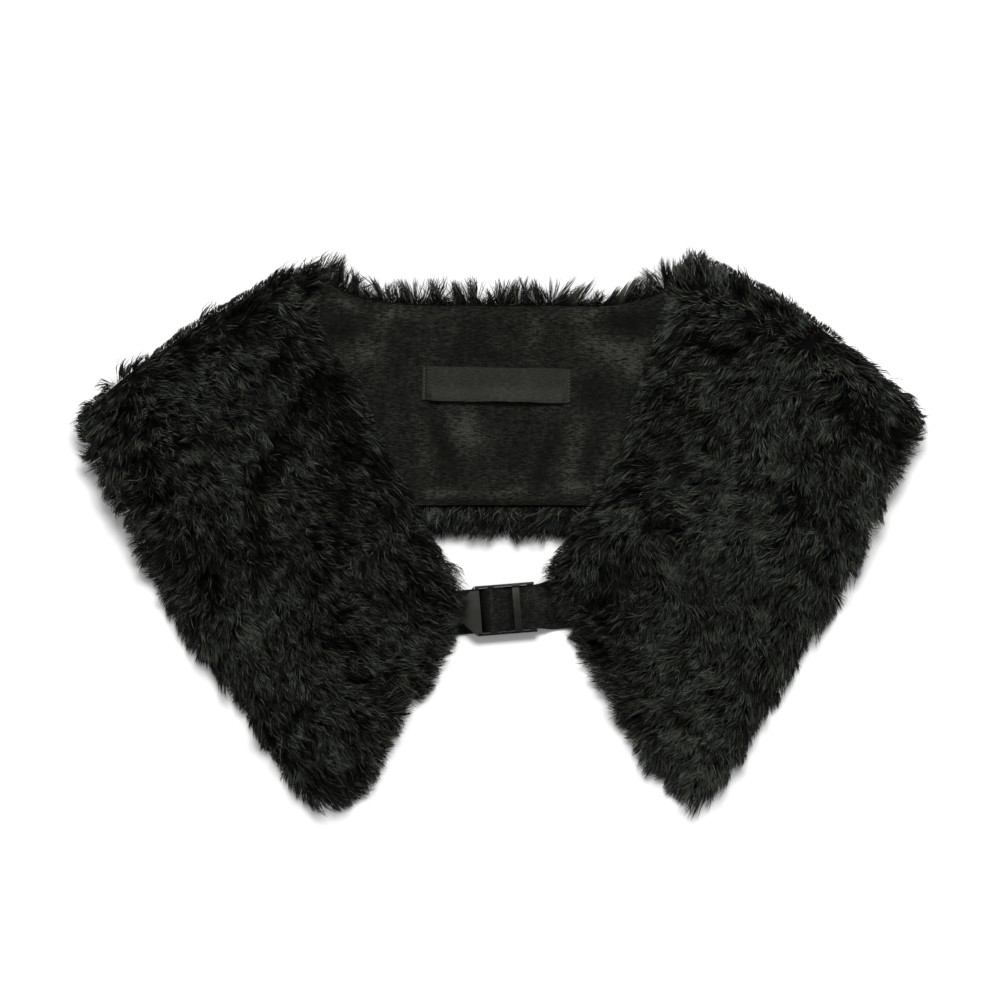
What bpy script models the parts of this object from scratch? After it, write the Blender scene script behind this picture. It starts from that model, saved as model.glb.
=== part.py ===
"""A detachable fur collar with two pointed fronts, lined in plain cloth and laid flat.

The back panel lies at the bottom with its pile down and its lining up. The two fronts are
folded over it along the shoulder lines with their pile up, and a fastened buckle on 25 mm
webbing joins them. +X is the collar's right as seen from above, +Y its neck edge, +Z up.
Tables and named sizes are in millimetres; MM turns them into metres.
"""

import math
from collections import namedtuple

import bmesh
import bpy
from mathutils import Matrix, Vector

MM = 0.001

# Thicknesses and gaps between pieces that touch
SEAM_GAP = 0.3
LINING = 1.0
LABEL = 1.0
WEBBING = 1.0
BACK_PILE = 7.0
FRONT_PILE = 12.0

# Heights of the layers above the table, where the fronts lie on the back
BACK_LINING_Z = BACK_PILE + SEAM_GAP
FRONT_LINING_Z = BACK_LINING_Z + LINING + SEAM_GAP
FRONT_FUR_Z = FRONT_LINING_Z + LINING + SEAM_GAP
FOLD_TOP_Z = FRONT_FUR_Z + FRONT_PILE
FOLD_MIDDLE_Z = FOLD_TOP_Z / 2

# Where a front has come down to the table, beyond the back's hem
FRONT_FUR_LOW_Z = LINING + SEAM_GAP
STEP_DOWN = FRONT_FUR_Z - FRONT_FUR_LOW_Z
STEP_STARTS = 7.0
STEP_LENGTH = 36.0

# The pile's rounded rims: distances of its rings from the edge, and how it curves there
RIM_STATIONS = (0.0, 1.5, 4.0, 8.0, 12.0)
HEM_STATIONS = (0.0, 2.0, 5.0, 10.0, 20.0)
RIM_WALL = 2.0
FOLD_RADIUS = 11.0
BACK_RIM_RADIUS = 6.0
FRONT_SEAM = (8.0, 3.0)
BACK_SEAM = (4.5, 1.5)
NARROW_SHARE = 0.45
SHARP_ANGLE = math.radians(50)

# Cells between the rims, across and along each panel
FRONT_CELLS = (12, 24)
BACK_CELLS = (12, 34)
EDGE_SAMPLES = 60

# A front from its fold to its point: one row for each section, outer edge to inner edge,
# and how far the section bows out towards the fold
Section = namedtuple("Section", "outer_x outer_y inner_x inner_y bow")
LEFT_FRONT = (
    Section(-244, 66, -101, 161, 6),
    Section(-234, 31, -107, 119, 4),
    Section(-217.5, 5, -85, 84, 1),
    Section(-204, -24, -67, 44, 0),
    Section(-189, -51, -47, 6, 0),
    Section(-171, -77, -30, -28.5, 0),
    Section(-151.5, -98.5, -30.5, -64, 0),
    Section(-136.5, -125, -53.5, -104.5, 0),
    Section(-110, -158.5, -87.5, -161.5, 0),
)
RIGHT_FRONT = (
    Section(244, 63, 104, 161.5, 9),
    Section(230, 36, 91, 119, 5),
    Section(216.5, 11, 80, 86, 1),
    Section(205.5, -13.5, 67, 44, 0),
    Section(192.5, -38, 46, 8, 0),
    Section(175, -65.5, 27, -24.5, 0),
    Section(159, -92.5, 38.5, -59.5, 0),
    Section(141.5, -119.5, 60, -99, 0),
    Section(118, -157, 100.5, -161.5, 0),
)

# The back from the left fold to the right fold: one row for each section, neck to hem,
# and how far it bows out, to the right of the way from neck to hem
BackSection = namedtuple("BackSection", "neck_x neck_y hem_x hem_y bow")
BACK = (
    BackSection(-101, 161, -244, 66, 6),
    BackSection(-84, 146, -206, 22, 3),
    BackSection(-58, 141, -140, -2, 0),
    BackSection(-20, 141, -50, -4, 0),
    BackSection(20, 141, 50, -4, 0),
    BackSection(58, 140, 140, -2, 0),
    BackSection(84, 146, 206, 22, -3),
    BackSection(104, 161.5, 244, 63, -9),
)

# Partings (depth below zero) and swells in the fronts' pile, each along a line
Swell = namedtuple("Swell", "x0 y0 x1 y1 reach depth")
SWELLS = (
    Swell(-108, 104, -136, 28, 11, -2.4),
    Swell(-190, 60, -150, 0, 22, 1.6),
    Swell(-92, 40, -86, -40, 18, 1.5),
    Swell(-150, -40, -100, -84, 20, 1.4),
    Swell(112, 96, 150, 58, 16, 1.6),
    Swell(120, 20, 160, -24, 20, 1.5),
    Swell(190, 66, 204, 22, 14, -1.6),
    Swell(78, 0, 106, -76, 16, 1.3),
)

# Label on the back lining
LABEL_SIZE = (85.0, 19.5)
LABEL_CENTRE = (-3.8, 84.4)
LABEL_TURN = math.radians(-1.0)

# The strap: its middle, its tilt and its webbing
STRAP_CENTRE = (-1.4, -44.0)
STRAP_TILT = math.radians(4.6)
STRAP_WIDTH = 25.4
STRAP_Z = WEBBING / 2 + 0.05
STEPS_PER_ROUTE_POINT = 3

# Buckle, along the strap from its middle: x positions, half widths and heights
RAIL_INSIDE, RAIL_OUTSIDE = 13.0, 14.3
BUCKLE_BOTTOM, BUCKLE_TOP = 1.4, 7.2
FRAME_RIGHT = 20.0
RAIL_TOP = 6.4
HOUSING_LEFT, HOUSING_RIGHT = -24.5, -11.6
HOUSING_SHOULDER = -14.3
HOUSING_TAPER = (7.7, 7.8)
ARM_END = -14.0
ARM_HOOK = (2.0, 1.2)
HOOK_INSET = 1.0
FIT = 0.3
FRAME_ROUNDING, HOUSING_ROUNDING = 0.35, 0.6
ROUNDED_ANGLE = math.radians(40)
Bar = namedtuple("Bar", "left right bottom top")
BARS = {
    "centre_bar": Bar(-6.5, -3.0, 2.2, 4.2),
    "visible_bar": Bar(7.3, 11.4, 4.6, 7.2),
    "end_bar": Bar(16.0, 19.6, 2.2, 4.0),
}

# Webbing routes, seen from the side: distance along the strap and height of its middle
RIGHT_ROUTE = (
    (13.0, STRAP_Z),
    (-8.2, STRAP_Z),
    (-9.6, 0.9),
    (-10.5, 2.0),
    (-10.5, 3.5),
    (-9.2, 4.8),
    (-6.6, 5.2),
    (-3.2, 5.2),
    (2.0, 4.2),
    (7.0, 3.6),
    (11.0, 3.6),
    (15.4, 4.9),
    (19.6, 5.0),
    (23.6, 3.6),
    (27.6, 1.3),
    (31.5, STRAP_Z),
    (39.0, STRAP_Z),
)
LEFT_ROUTE = ((-37.0, STRAP_Z), (-19.0, STRAP_Z), (-16.8, 0.9), (-16.2, 2.2), (-16.2, 3.4))
RIGHT_SEAM_SLANT, LEFT_SEAM_SLANT = -0.3, 0.1
# How the strap spreads beyond the buckle: where this starts, over what length, by how much
RIGHT_SPREAD, LEFT_SPREAD = (20.5, 9.0, 1.3), (0.0, 1.0, 0.0)
SLOT = (1.7, 2.8)

# Colours: linear RGB, roughness
FUR_LOOK = ((0.012, 0.013, 0.013), 0.75)
LINING_LOOK = ((0.018, 0.018, 0.016), 0.85)
LABEL_LOOK = ((0.030, 0.030, 0.027), 0.6)
WEBBING_LOOK = ((0.014, 0.014, 0.013), 0.8)
PLASTIC_LOOK = ((0.030, 0.030, 0.028), 0.4)


def clear_scene():
    for thing in list(bpy.data.objects):
        bpy.data.objects.remove(thing)


def new_collection(name):
    made = bpy.data.collections.new(name)
    bpy.context.scene.collection.children.link(made)
    return made


def new_material(name, look):
    colour, roughness = look
    made = bpy.data.materials.new(name)
    made.use_nodes = True
    shader = made.node_tree.nodes["Principled BSDF"]
    shader.inputs["Base Color"].default_value = (*colour, 1.0)
    shader.inputs["Roughness"].default_value = roughness
    shader.inputs["Metallic"].default_value = 0.0
    return made


def clamp(value):
    return min(1.0, max(0.0, value))


def smooth_step(value):
    value = clamp(value)
    return value * value * (3 - 2 * value)


def curve_through(points, share):
    """The point a share of the way along a smooth curve through the points (Catmull-Rom)."""
    last = len(points) - 1
    place = clamp(share) * last
    i = min(int(place), last - 1)
    t = place - i
    before = points[i - 1] if i else points[0] * 2 - points[1]
    after = points[i + 2] if i + 2 <= last else points[last] * 2 - points[last - 1]
    a, b = points[i], points[i + 1]
    bend = before * 2 - a * 5 + b * 4 - after
    twist = a * 3 - before - b * 3 + after
    return (a * 2 + (b - before) * t + bend * t * t + twist * t**3) / 2


# A plan point of a panel, its distances from the edges, whether it is in the panel's first
# half and how far the rim's stations close up there
Placed = namedtuple("Placed", "point u_edge v_edge at_start squeeze")


def rim(distance, radius):
    """0 at an edge, 1 from one radius inside it, along a quarter circle."""
    return math.sqrt(1 - (1 - clamp(distance / radius)) ** 2)


class Panel:
    """A four-sided piece of cloth: sections from one end to the other, each a shallow bow
    from its near edge to its far edge."""

    def __init__(self, sections, far_stations=RIM_STATIONS):
        self.near = [Vector(row[:2]) for row in sections]
        self.far = [Vector(row[2:4]) for row in sections]
        self.bows = [Vector((row[4], 0)) for row in sections]
        self.far_stations = far_stations
        middles = [(a + b) / 2 for a, b in zip(self.near, self.far)]
        self.length = sum((b - a).length for a, b in zip(middles, middles[1:]))
        self.outward = 1 if self.near[0].x < self.far[0].x else -1

    def run(self, distances, width, cells):
        """Distances along a run of this width: the stations at both ends and even cells
        between. The stations close up on a run too narrow for them."""
        first, last = distances
        squeeze = min(1.0, NARROW_SHARE * width / max(first[-1], last[-1]))
        start, end = first[-1] * squeeze, width - last[-1] * squeeze
        inside = [start + (end - start) * k / cells for k in range(1, cells)]
        near = [distance * squeeze for distance in first]
        far = [width - distance * squeeze for distance in reversed(last)]
        return near + inside + far, squeeze

    def section(self, v_distance):
        share = v_distance / self.length
        ends = curve_through(self.near, share), curve_through(self.far, share)
        return (*ends, curve_through(self.bows, share).x)

    def point(self, v_distance, u_share):
        near, far, bow = self.section(v_distance)
        across = (far - near).normalized()
        sideways = Vector((-across.y, across.x)) * self.outward
        return near.lerp(far, u_share) + sideways * bow * 4 * u_share * (1 - u_share)

    def rows(self, cells, trim=0):
        """Rows of placed points, leaving out this many stations at every edge."""
        ends = RIM_STATIONS, RIM_STATIONS
        downs, _ = self.run(ends, self.length, cells[1])
        placed = [self.row(down, cells[0]) for down in downs[trim : len(downs) - trim]]
        return [row[trim : len(row) - trim] for row in placed]

    def row(self, v_distance, cells):
        near, far, _ = self.section(v_distance)
        width = (far - near).length
        across, squeeze = self.run((RIM_STATIONS, self.far_stations), width, cells)
        return [self.place(u, v_distance, width, squeeze) for u in across]

    def place(self, u_distance, v_distance, width, squeeze):
        """A point, drawn in where two edges meet so that the corner is round."""
        corner_u, corner_v = RIM_STATIONS[-1] * squeeze, RIM_STATIONS[-1]
        u_edge = min(u_distance, width - u_distance)
        v_edge = min(v_distance, self.length - v_distance)
        at_start = v_distance < self.length / 2
        a, b = 1 - u_edge / corner_u, 1 - v_edge / corner_v
        if a > 0 and b > 0:
            shrink = 1 - max(a, b) / math.hypot(a, b)
            u_in, v_in = corner_u * a * shrink, corner_v * b * shrink
            u_distance += u_in if u_distance < width / 2 else -u_in
            v_distance += v_in if at_start else -v_in
        point = self.point(v_distance, u_distance / width)
        return Placed(point, u_edge, v_edge, at_start, squeeze)


def hem_distance(point, hem):
    """How far a plan point lies outside the back's hem; below zero on the back."""
    nearest, index = min(((point - p).length, i) for i, p in enumerate(hem))
    a, b = hem[max(index - 1, 0)], hem[min(index + 1, len(hem) - 1)]
    outside = (b - a).cross(point - a) < 0
    return nearest if outside else -nearest


def swell_height(point):
    total = 0.0
    for row in SWELLS:
        start, end = Vector((row.x0, row.y0)), Vector((row.x1, row.y1))
        run = end - start
        share = clamp((point - start).dot(run) / run.length_squared)
        away = (point - start - run * share).length
        total += row.depth * smooth_step(1 - away / row.reach)
    return total


def front_base(point, hem):
    """The height of a front's skin: on the back's layers, and down to the table past them."""
    past = (hem_distance(point, hem) - STEP_STARTS) / STEP_LENGTH
    return FRONT_FUR_Z - STEP_DOWN * smooth_step(past)


def grid_cell(vertex, columns, rows):
    """The column and row of a vertex in a grid that spans -1 to 1 both ways."""
    return round((vertex.co.x + 1) / 2 * (columns - 1)), round((vertex.co.y + 1) / 2 * (rows - 1))


def slab(name, rows, heights, collection, material):
    """A closed solid over rows of placed points, with a bottom and a top height at each."""
    size = len(rows[0]), len(rows)
    work = bmesh.new()
    bmesh.ops.create_grid(work, x_segments=size[0] - 1, y_segments=size[1] - 1, size=1.0)
    cells = {vertex: (*grid_cell(vertex, *size), 0) for vertex in work.verts}
    bmesh.ops.triangulate(work, faces=work.faces[:], quad_method="FIXED")
    made = bmesh.ops.extrude_face_region(work, geom=work.faces[:], use_keep_orig=True)
    for item in made["geom"]:
        if isinstance(item, bmesh.types.BMVert):
            cells[item] = (*grid_cell(item, *size), 1)
    for vertex, (column, row, side) in cells.items():
        point = rows[row][column].point
        vertex.co = Vector((*point, heights[row][column][side])) * MM
    bmesh.ops.recalc_face_normals(work, faces=work.faces[:])
    mesh = bpy.data.meshes.new(name)
    work.to_mesh(mesh)
    work.free()
    mesh.shade_smooth()
    mesh.set_sharp_from_angle(angle=SHARP_ANGLE)
    mesh.materials.append(material)
    made = bpy.data.objects.new(name, mesh)
    collection.objects.link(made)


def front_fur_heights(placed, hem):
    base = front_base(placed.point, hem)
    crown = rim(placed.u_edge, FOLD_RADIUS * placed.squeeze) * rim(placed.v_edge, FOLD_RADIUS)
    seam = 0.0
    if placed.at_start:
        inner, outer = FRONT_SEAM
        inside = (inner - placed.v_edge) / (inner - outer)
        on_back = smooth_step((base - FRONT_FUR_LOW_Z) / STEP_DOWN)
        seam = (FOLD_MIDDLE_Z + SEAM_GAP / 2 - FRONT_FUR_Z) * smooth_step(inside) * on_back
    bottom = base + seam
    top = base + FRONT_PILE + swell_height(placed.point)
    return bottom, bottom + RIM_WALL + (top - bottom - RIM_WALL) * crown


def back_fur_heights(placed):
    middle = FOLD_MIDDLE_Z - SEAM_GAP / 2
    inner, outer = BACK_SEAM
    inside = smooth_step((inner - placed.v_edge) / (inner - outer))
    bottom = (middle - RIM_WALL) * (1 - rim(placed.v_edge, FOLD_RADIUS))
    flat = RIM_WALL + (BACK_PILE - RIM_WALL) * rim(placed.u_edge, BACK_RIM_RADIUS)
    top = flat + (middle - flat) * inside
    return bottom, max(top, bottom + RIM_WALL / 2)


def build_front(side, sections, hem, collection, fur, lining):
    panel = Panel(sections)
    rows = panel.rows(FRONT_CELLS)
    heights = [[front_fur_heights(placed, hem) for placed in row] for row in rows]
    slab(side + "_front_fur", rows, heights, collection, fur)
    rows = panel.rows(FRONT_CELLS, len(RIM_STATIONS) - 1)
    bases = [[front_base(placed.point, hem) - SEAM_GAP for placed in row] for row in rows]
    heights = [[(top - LINING, top) for top in row] for row in bases]
    slab(side + "_front_lining", rows, heights, collection, lining)


def build_back(panel, collection, fur, lining):
    rows = panel.rows(BACK_CELLS)
    heights = [[back_fur_heights(placed) for placed in row] for row in rows]
    slab("back_fur", rows, heights, collection, fur)
    rows = panel.rows(BACK_CELLS, len(RIM_STATIONS) - 1)
    flat = (BACK_LINING_Z, BACK_LINING_Z + LINING)
    heights = [[flat for _ in row] for row in rows]
    slab("back_lining", rows, heights, collection, lining)


def box(name, low, high, collection, material=None):
    """A block between two corners, in millimetres."""
    size = [b - a for a, b in zip(low, high)]
    middle = [(a + b) / 2 for a, b in zip(low, high)]
    mesh = bpy.data.meshes.new(name)
    work = bmesh.new()
    bmesh.ops.create_cube(work, size=1.0)
    bmesh.ops.scale(work, vec=Vector(size) * MM, verts=work.verts)
    bmesh.ops.translate(work, vec=Vector(middle) * MM, verts=work.verts)
    work.to_mesh(mesh)
    work.free()
    if material:
        mesh.materials.append(material)
    made = bpy.data.objects.new(name, mesh)
    collection.objects.link(made)
    return made


def round_edges(thing, width):
    bevel = thing.modifiers.new("rounded", "BEVEL")
    bevel.width = width * MM
    bevel.segments = 2
    bevel.limit_method = "ANGLE"
    bevel.angle_limit = ROUNDED_ANGLE


def as_helper(thing):
    thing.hide_render = True
    thing.display_type = "WIRE"


def boolean(thing, other, operation):
    cut = thing.modifiers.new(other.name, "BOOLEAN")
    cut.operation = operation
    cut.object = other
    cut.solver = "EXACT"
    as_helper(other)


def build_label(collection, material):
    wide, deep = LABEL_SIZE
    bottom = BACK_LINING_Z + LINING + SEAM_GAP
    low, high = (-wide / 2, -deep / 2, 0), (wide / 2, deep / 2, LABEL)
    label = box("neck_label", low, high, collection, material)
    label.location = Vector((*LABEL_CENTRE, bottom)) * MM
    label.rotation_euler.z = LABEL_TURN


def strap_matrix():
    return Matrix.Translation(Vector((*STRAP_CENTRE, 0)) * MM) @ Matrix.Rotation(STRAP_TILT, 4, "Z")


def ribbon(name, route, spread, slant_at, slant, collection, material):
    """Webbing along a route in the strap's own plane, one end cut to its seam's slant."""
    start, length, more = spread
    points = [Vector(point) for point in route]
    count = STEPS_PER_ROUTE_POINT * (len(points) - 1) + 1
    line = [curve_through(points, k / (count - 1)) for k in range(count)]
    mesh = bpy.data.meshes.new(name)
    work = bmesh.new()
    bmesh.ops.create_grid(work, x_segments=count - 1, y_segments=1, size=1.0)
    for vertex in work.verts:
        k, _ = grid_cell(vertex, count, 2)
        y = vertex.co.y * (STRAP_WIDTH / 2 + more * smooth_step((line[k].x - start) / length))
        cut = slant * y if k == slant_at % count else 0.0
        vertex.co = Vector((line[k].x + cut, y, line[k].y)) * MM
    work.to_mesh(mesh)
    work.free()
    mesh.materials.append(material)
    made = bpy.data.objects.new(name, mesh)
    collection.objects.link(made)
    made.matrix_world = strap_matrix()
    wall = made.modifiers.new("thickness", "SOLIDIFY")
    wall.thickness = WEBBING * MM
    wall.offset = 0.0
    wall.use_even_offset = True


def build_frame(collection, tools, material):
    """The male half: two rails with hooked arms, and three bars between them."""
    rail_low = (ARM_END, RAIL_INSIDE, BUCKLE_BOTTOM)
    rail_high = (FRAME_RIGHT, RAIL_OUTSIDE, RAIL_TOP)
    frame = box("buckle_frame", rail_low, rail_high, collection, material)
    frame.matrix_world = strap_matrix()
    other_low = (ARM_END, -RAIL_OUTSIDE, BUCKLE_BOTTOM)
    other_high = (FRAME_RIGHT, -RAIL_INSIDE, RAIL_TOP)
    bars = [("other_rail", other_low, other_high)]
    reach = (RAIL_INSIDE + RAIL_OUTSIDE) / 2
    for name, bar in BARS.items():
        bars.append((name, (bar.left, -reach, bar.bottom), (bar.right, reach, bar.top)))
    hook_long, hook_deep = ARM_HOOK
    for name, sign in (("upper_hook", 1), ("lower_hook", -1)):
        ends = sorted((sign * (RAIL_INSIDE - hook_deep), sign * reach))
        low = (ARM_END, ends[0], BUCKLE_BOTTOM + HOOK_INSET)
        bars.append((name, low, (ARM_END + hook_long, ends[1], RAIL_TOP - HOOK_INSET)))
    for name, low, high in bars:
        piece = box(name, low, high, tools)
        piece.matrix_world = strap_matrix()
        boolean(frame, piece, "UNION")
    round_edges(frame, FRAME_ROUNDING)


def build_housing(collection, tools, material):
    """The female half: a block with a tapered end, notches for the arms and a slot below
    in which the webbing's end is held."""
    taper_long, taper_wide = HOUSING_TAPER
    narrow = RAIL_OUTSIDE - taper_wide
    notch = RAIL_INSIDE - FIT
    half = (
        (HOUSING_RIGHT, notch),
        (HOUSING_SHOULDER, notch),
        (HOUSING_SHOULDER, RAIL_OUTSIDE),
        (HOUSING_SHOULDER - taper_long, narrow),
        (HOUSING_LEFT, narrow),
    )
    outline = [(x, -y) for x, y in half] + [(x, y) for x, y in reversed(half)]
    mesh = bpy.data.meshes.new("buckle_housing")
    work = bmesh.new()
    corners = [work.verts.new(Vector((x, y, BUCKLE_BOTTOM)) * MM) for x, y in outline]
    face = work.faces.new(corners)
    made = bmesh.ops.extrude_face_region(work, geom=[face], use_keep_orig=True)
    raised = [item for item in made["geom"] if isinstance(item, bmesh.types.BMVert)]
    up = Vector((0, 0, BUCKLE_TOP - BUCKLE_BOTTOM)) * MM
    bmesh.ops.translate(work, vec=up, verts=raised)
    bmesh.ops.recalc_face_normals(work, faces=work.faces[:])
    work.to_mesh(mesh)
    work.free()
    mesh.materials.append(material)
    housing = bpy.data.objects.new("buckle_housing", mesh)
    collection.objects.link(housing)
    housing.matrix_world = strap_matrix()
    slot_wide, slot_deep = SLOT
    middle = LEFT_ROUTE[-1][0]
    across = STRAP_WIDTH / 2 + FIT
    slot_low = (middle - slot_wide / 2, -across, 0)
    slot_high = (middle + slot_wide / 2, across, BUCKLE_BOTTOM + slot_deep)
    cuts = [("webbing_slot", slot_low, slot_high)]
    inner, outer = RAIL_INSIDE - ARM_HOOK[1] - FIT, RAIL_OUTSIDE + FIT
    for name, near, far in (("upper_recess", inner, outer), ("lower_recess", -outer, -inner)):
        low = (ARM_END - FIT, near, BUCKLE_BOTTOM + HOOK_INSET - FIT)
        cuts.append((name, low, (HOUSING_RIGHT + FIT, far, RAIL_TOP - HOOK_INSET + FIT)))
    for name, low, high in cuts:
        tool = box(name, low, high, tools)
        tool.matrix_world = strap_matrix()
        boolean(housing, tool, "DIFFERENCE")
    round_edges(housing, HOUSING_ROUNDING)


def centre_on_table(collection):
    """Moves everything so that the middle of the whole object's box is over the origin."""
    bpy.context.view_layer.update()
    corners = [
        thing.matrix_world @ Vector(corner) for thing in collection.objects for corner in thing.bound_box
    ]
    for axis in (0, 1):
        low = min(corner[axis] for corner in corners)
        high = max(corner[axis] for corner in corners)
        for thing in bpy.data.objects:
            thing.location[axis] -= (low + high) / 2


def main():
    clear_scene()
    collar = new_collection("fur_collar")
    tools = new_collection("construction")
    fur, lining = new_material("fur", FUR_LOOK), new_material("lining", LINING_LOOK)
    back = Panel(BACK, HEM_STATIONS)
    hem = [curve_through(back.far, k / EDGE_SAMPLES) for k in range(EDGE_SAMPLES + 1)]
    build_back(back, collar, fur, lining)
    build_front("left", LEFT_FRONT, hem, collar, fur, lining)
    build_front("right", RIGHT_FRONT, hem, collar, fur, lining)
    build_label(collar, new_material("label", LABEL_LOOK))
    webbing = new_material("webbing", WEBBING_LOOK)
    ribbon("left_webbing", LEFT_ROUTE, LEFT_SPREAD, 0, LEFT_SEAM_SLANT, collar, webbing)
    ribbon("right_webbing", RIGHT_ROUTE, RIGHT_SPREAD, -1, RIGHT_SEAM_SLANT, collar, webbing)
    plastic = new_material("plastic", PLASTIC_LOOK)
    build_frame(collar, tools, plastic)
    build_housing(collar, tools, plastic)
    centre_on_table(collar)


main()
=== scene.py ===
"""The looks of a folded fur collar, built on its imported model: the pile, the cloth, the label,
the strap and its buckle, and a plain studio stage. Lengths in the tables and in the modelling
are in millimetres. Settings, meshes and shader values are in metres."""

import math
from contextlib import contextmanager
from typing import NamedTuple

import bmesh
import bpy
import numpy as np
from bpy.props import FloatProperty, FloatVectorProperty, IntProperty, PointerProperty
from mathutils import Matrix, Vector
from mathutils.bvhtree import BVHTree
from mathutils.kdtree import KDTree


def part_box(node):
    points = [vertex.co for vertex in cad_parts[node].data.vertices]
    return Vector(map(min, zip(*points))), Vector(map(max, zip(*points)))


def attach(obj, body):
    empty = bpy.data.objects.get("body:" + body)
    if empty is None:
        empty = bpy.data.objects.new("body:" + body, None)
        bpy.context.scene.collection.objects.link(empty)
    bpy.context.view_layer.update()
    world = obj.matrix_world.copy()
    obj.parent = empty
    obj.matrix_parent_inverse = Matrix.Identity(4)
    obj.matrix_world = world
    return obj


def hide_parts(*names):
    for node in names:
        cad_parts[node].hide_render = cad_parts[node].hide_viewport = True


bl_info = {
    "name": "Fur collar",
    "version": (1, 0, 0),
    "blender": (4, 5, 0),
    "location": "3D View > Sidebar > Collar",
    "description": "Builds a lined fur collar with a buckled strap on its packed model",
    "category": "Add Mesh",
}

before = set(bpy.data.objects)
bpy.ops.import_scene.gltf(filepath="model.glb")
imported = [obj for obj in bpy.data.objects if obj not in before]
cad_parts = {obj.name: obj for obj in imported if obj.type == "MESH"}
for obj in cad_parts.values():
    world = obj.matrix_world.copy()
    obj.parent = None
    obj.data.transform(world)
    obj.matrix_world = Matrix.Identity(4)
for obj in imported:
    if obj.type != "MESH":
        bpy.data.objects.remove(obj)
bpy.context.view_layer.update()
MM = 0.001
TAU = 2 * math.pi


def table(kind, *rows):
    """Plain rows of numbers as rows with named columns."""
    return tuple(kind(*row) for row in rows)


class Flow(NamedTuple):
    """Which way the pile lies at a place: degrees from +X, towards the tips."""

    x: float
    y: float
    degrees: float


class Parting(NamedTuple):
    """A line that the pile falls away from on both sides."""

    x0: float
    y0: float
    x1: float
    y1: float
    reach: float
    push: float


class Reach(NamedTuple):
    """How far the locks near a place at the edge end past the fur's outline, or short of it."""

    x: float
    y: float
    more: float
    spread: float


class Tuft(NamedTuple):
    """Locks that stand together past the neck edge."""

    x: float
    length: float
    degrees: float
    width: float


class Crease(NamedTuple):
    """A soft ridge, or a trough where its height is below zero."""

    x: float
    y: float
    degrees: float
    length: float
    width: float
    height: float


class Glow(NamedTuple):
    """A soft place on the lining or in the pile with painted light where it is lighter and painted
    shade where it is darker, by so many stops.
    """

    x: float
    y: float
    degrees: float
    length: float
    width: float
    stops: float


LEFT_FLOW = table(
    Flow,
    (-97, 140, 20), (-98, 147, 35), (-112, 142, 45), (-104, 141, 30), (-120, 140, 50),
    (-100, 138, 10), (-108, 152, 30), (-125, 145, 35), (-140, 137, 50), (-152, 130, 55),
    (-165, 123, 80), (-178, 114, 60), (-190, 107, 65), (-205, 98, 40), (-217, 91, 20),
    (-229, 80, 170), (-236, 70, 178), (-222, 76, 240), (-214, 80, 312), (-212, 66, 296),
    (-205, 84, 345), (-235, 60, 185), (-236, 50, 182), (-230, 40, 198), (-223, 26, 210),
    (-213, 5, 218), (-205, -15, 226), (-193, -32, 235), (-184, -44, 245), (-182, -54, 230),
    (-176, -66, 245), (-163, -78, 260), (-150, -93, 265), (-141, -110, 255), (-135, -122, 250),
    (-126, -134, 250), (-117, -145, 262), (-107, -152, 300), (-97, -155, 325), (-85, -151, 5),
    (-77, -143, 345), (-69, -134, 335), (-63, -124, 25), (-54, -110, 10), (-45, -95, 0),
    (-38, -75, 355), (-33, -60, 350), (-29, -45, 345), (-25, -30, 325), (-30, -17, 315),
    (-38, -5, 325), (-225, 70, 235), (-224, 55, 240), (-221, 40, 245), (-204, 8, 215),
    (-195, -12, 220), (-184, -25, 212), (-176, -40, 235), (-180, -48, 250), (-190, 88, 345),
    (-186, 72, 340), (-180, 100, 335), (-170, 104, 340), (-166, 62, 328), (-190, 55, 335),
    (-188, 35, 310), (-170, 42, 325), (-152, 50, 318), (-152, 90, 322), (-160, 112, 330),
    (-146, 110, 335), (-140, 122, 350), (-128, 130, 335), (-118, 138, 285), (-108, 140, 312),
    (-104, 118, 328), (-130, 95, 315), (-114, 96, 305), (-98, 100, 325), (-90, 92, 340),
    (-132, 62, 310), (-118, 60, 322), (-82, 78, 332), (-76, 62, 338), (-100, 80, 315),
    (-110, 42, 315), (-100, 52, 340), (-86, 45, 330), (-74, 38, 325), (-62, 40, 330),
    (-55, 28, 325), (-150, 30, 310), (-130, 20, 310), (-110, 20, 340), (-100, 4, 348),
    (-80, 12, 320), (-70, 0, 315), (-58, 10, 300), (-48, 0, 315), (-44, 12, 315), (-160, 5, 300),
    (-130, 0, 310), (-120, -15, 305), (-100, -10, 335), (-80, -20, 310), (-60, -25, 300),
    (-42, -25, 315), (-140, -20, 300), (-160, -20, 285), (-130, -35, 290), (-118, -30, 295),
    (-100, -30, 330), (-88, -36, 345), (-62, -36, 310), (-42, -42, 340), (-150, -38, 292),
    (-118, -45, 265), (-150, -55, 322), (-140, -65, 330), (-132, -54, 272), (-124, -64, 252),
    (-114, -64, 310), (-166, -60, 285), (-155, -70, 312), (-148, -84, 292), (-132, -80, 288),
    (-126, -95, 258), (-130, -106, 320), (-116, -92, 322), (-104, -90, 325), (-96, -60, 330),
    (-84, -62, 338), (-84, -90, 340), (-68, -80, 350), (-62, -96, 356), (-124, -118, 328),
    (-114, -122, 312), (-104, -116, 300), (-95, -114, 295), (-84, -114, 315), (-74, -112, 338),
    (-114, -134, 318), (-104, -128, 315), (-95, -130, 290), (-84, -130, 305), (-108, -142, 318),
    (-98, -147, 335), (-89, -146, 0),
)
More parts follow.
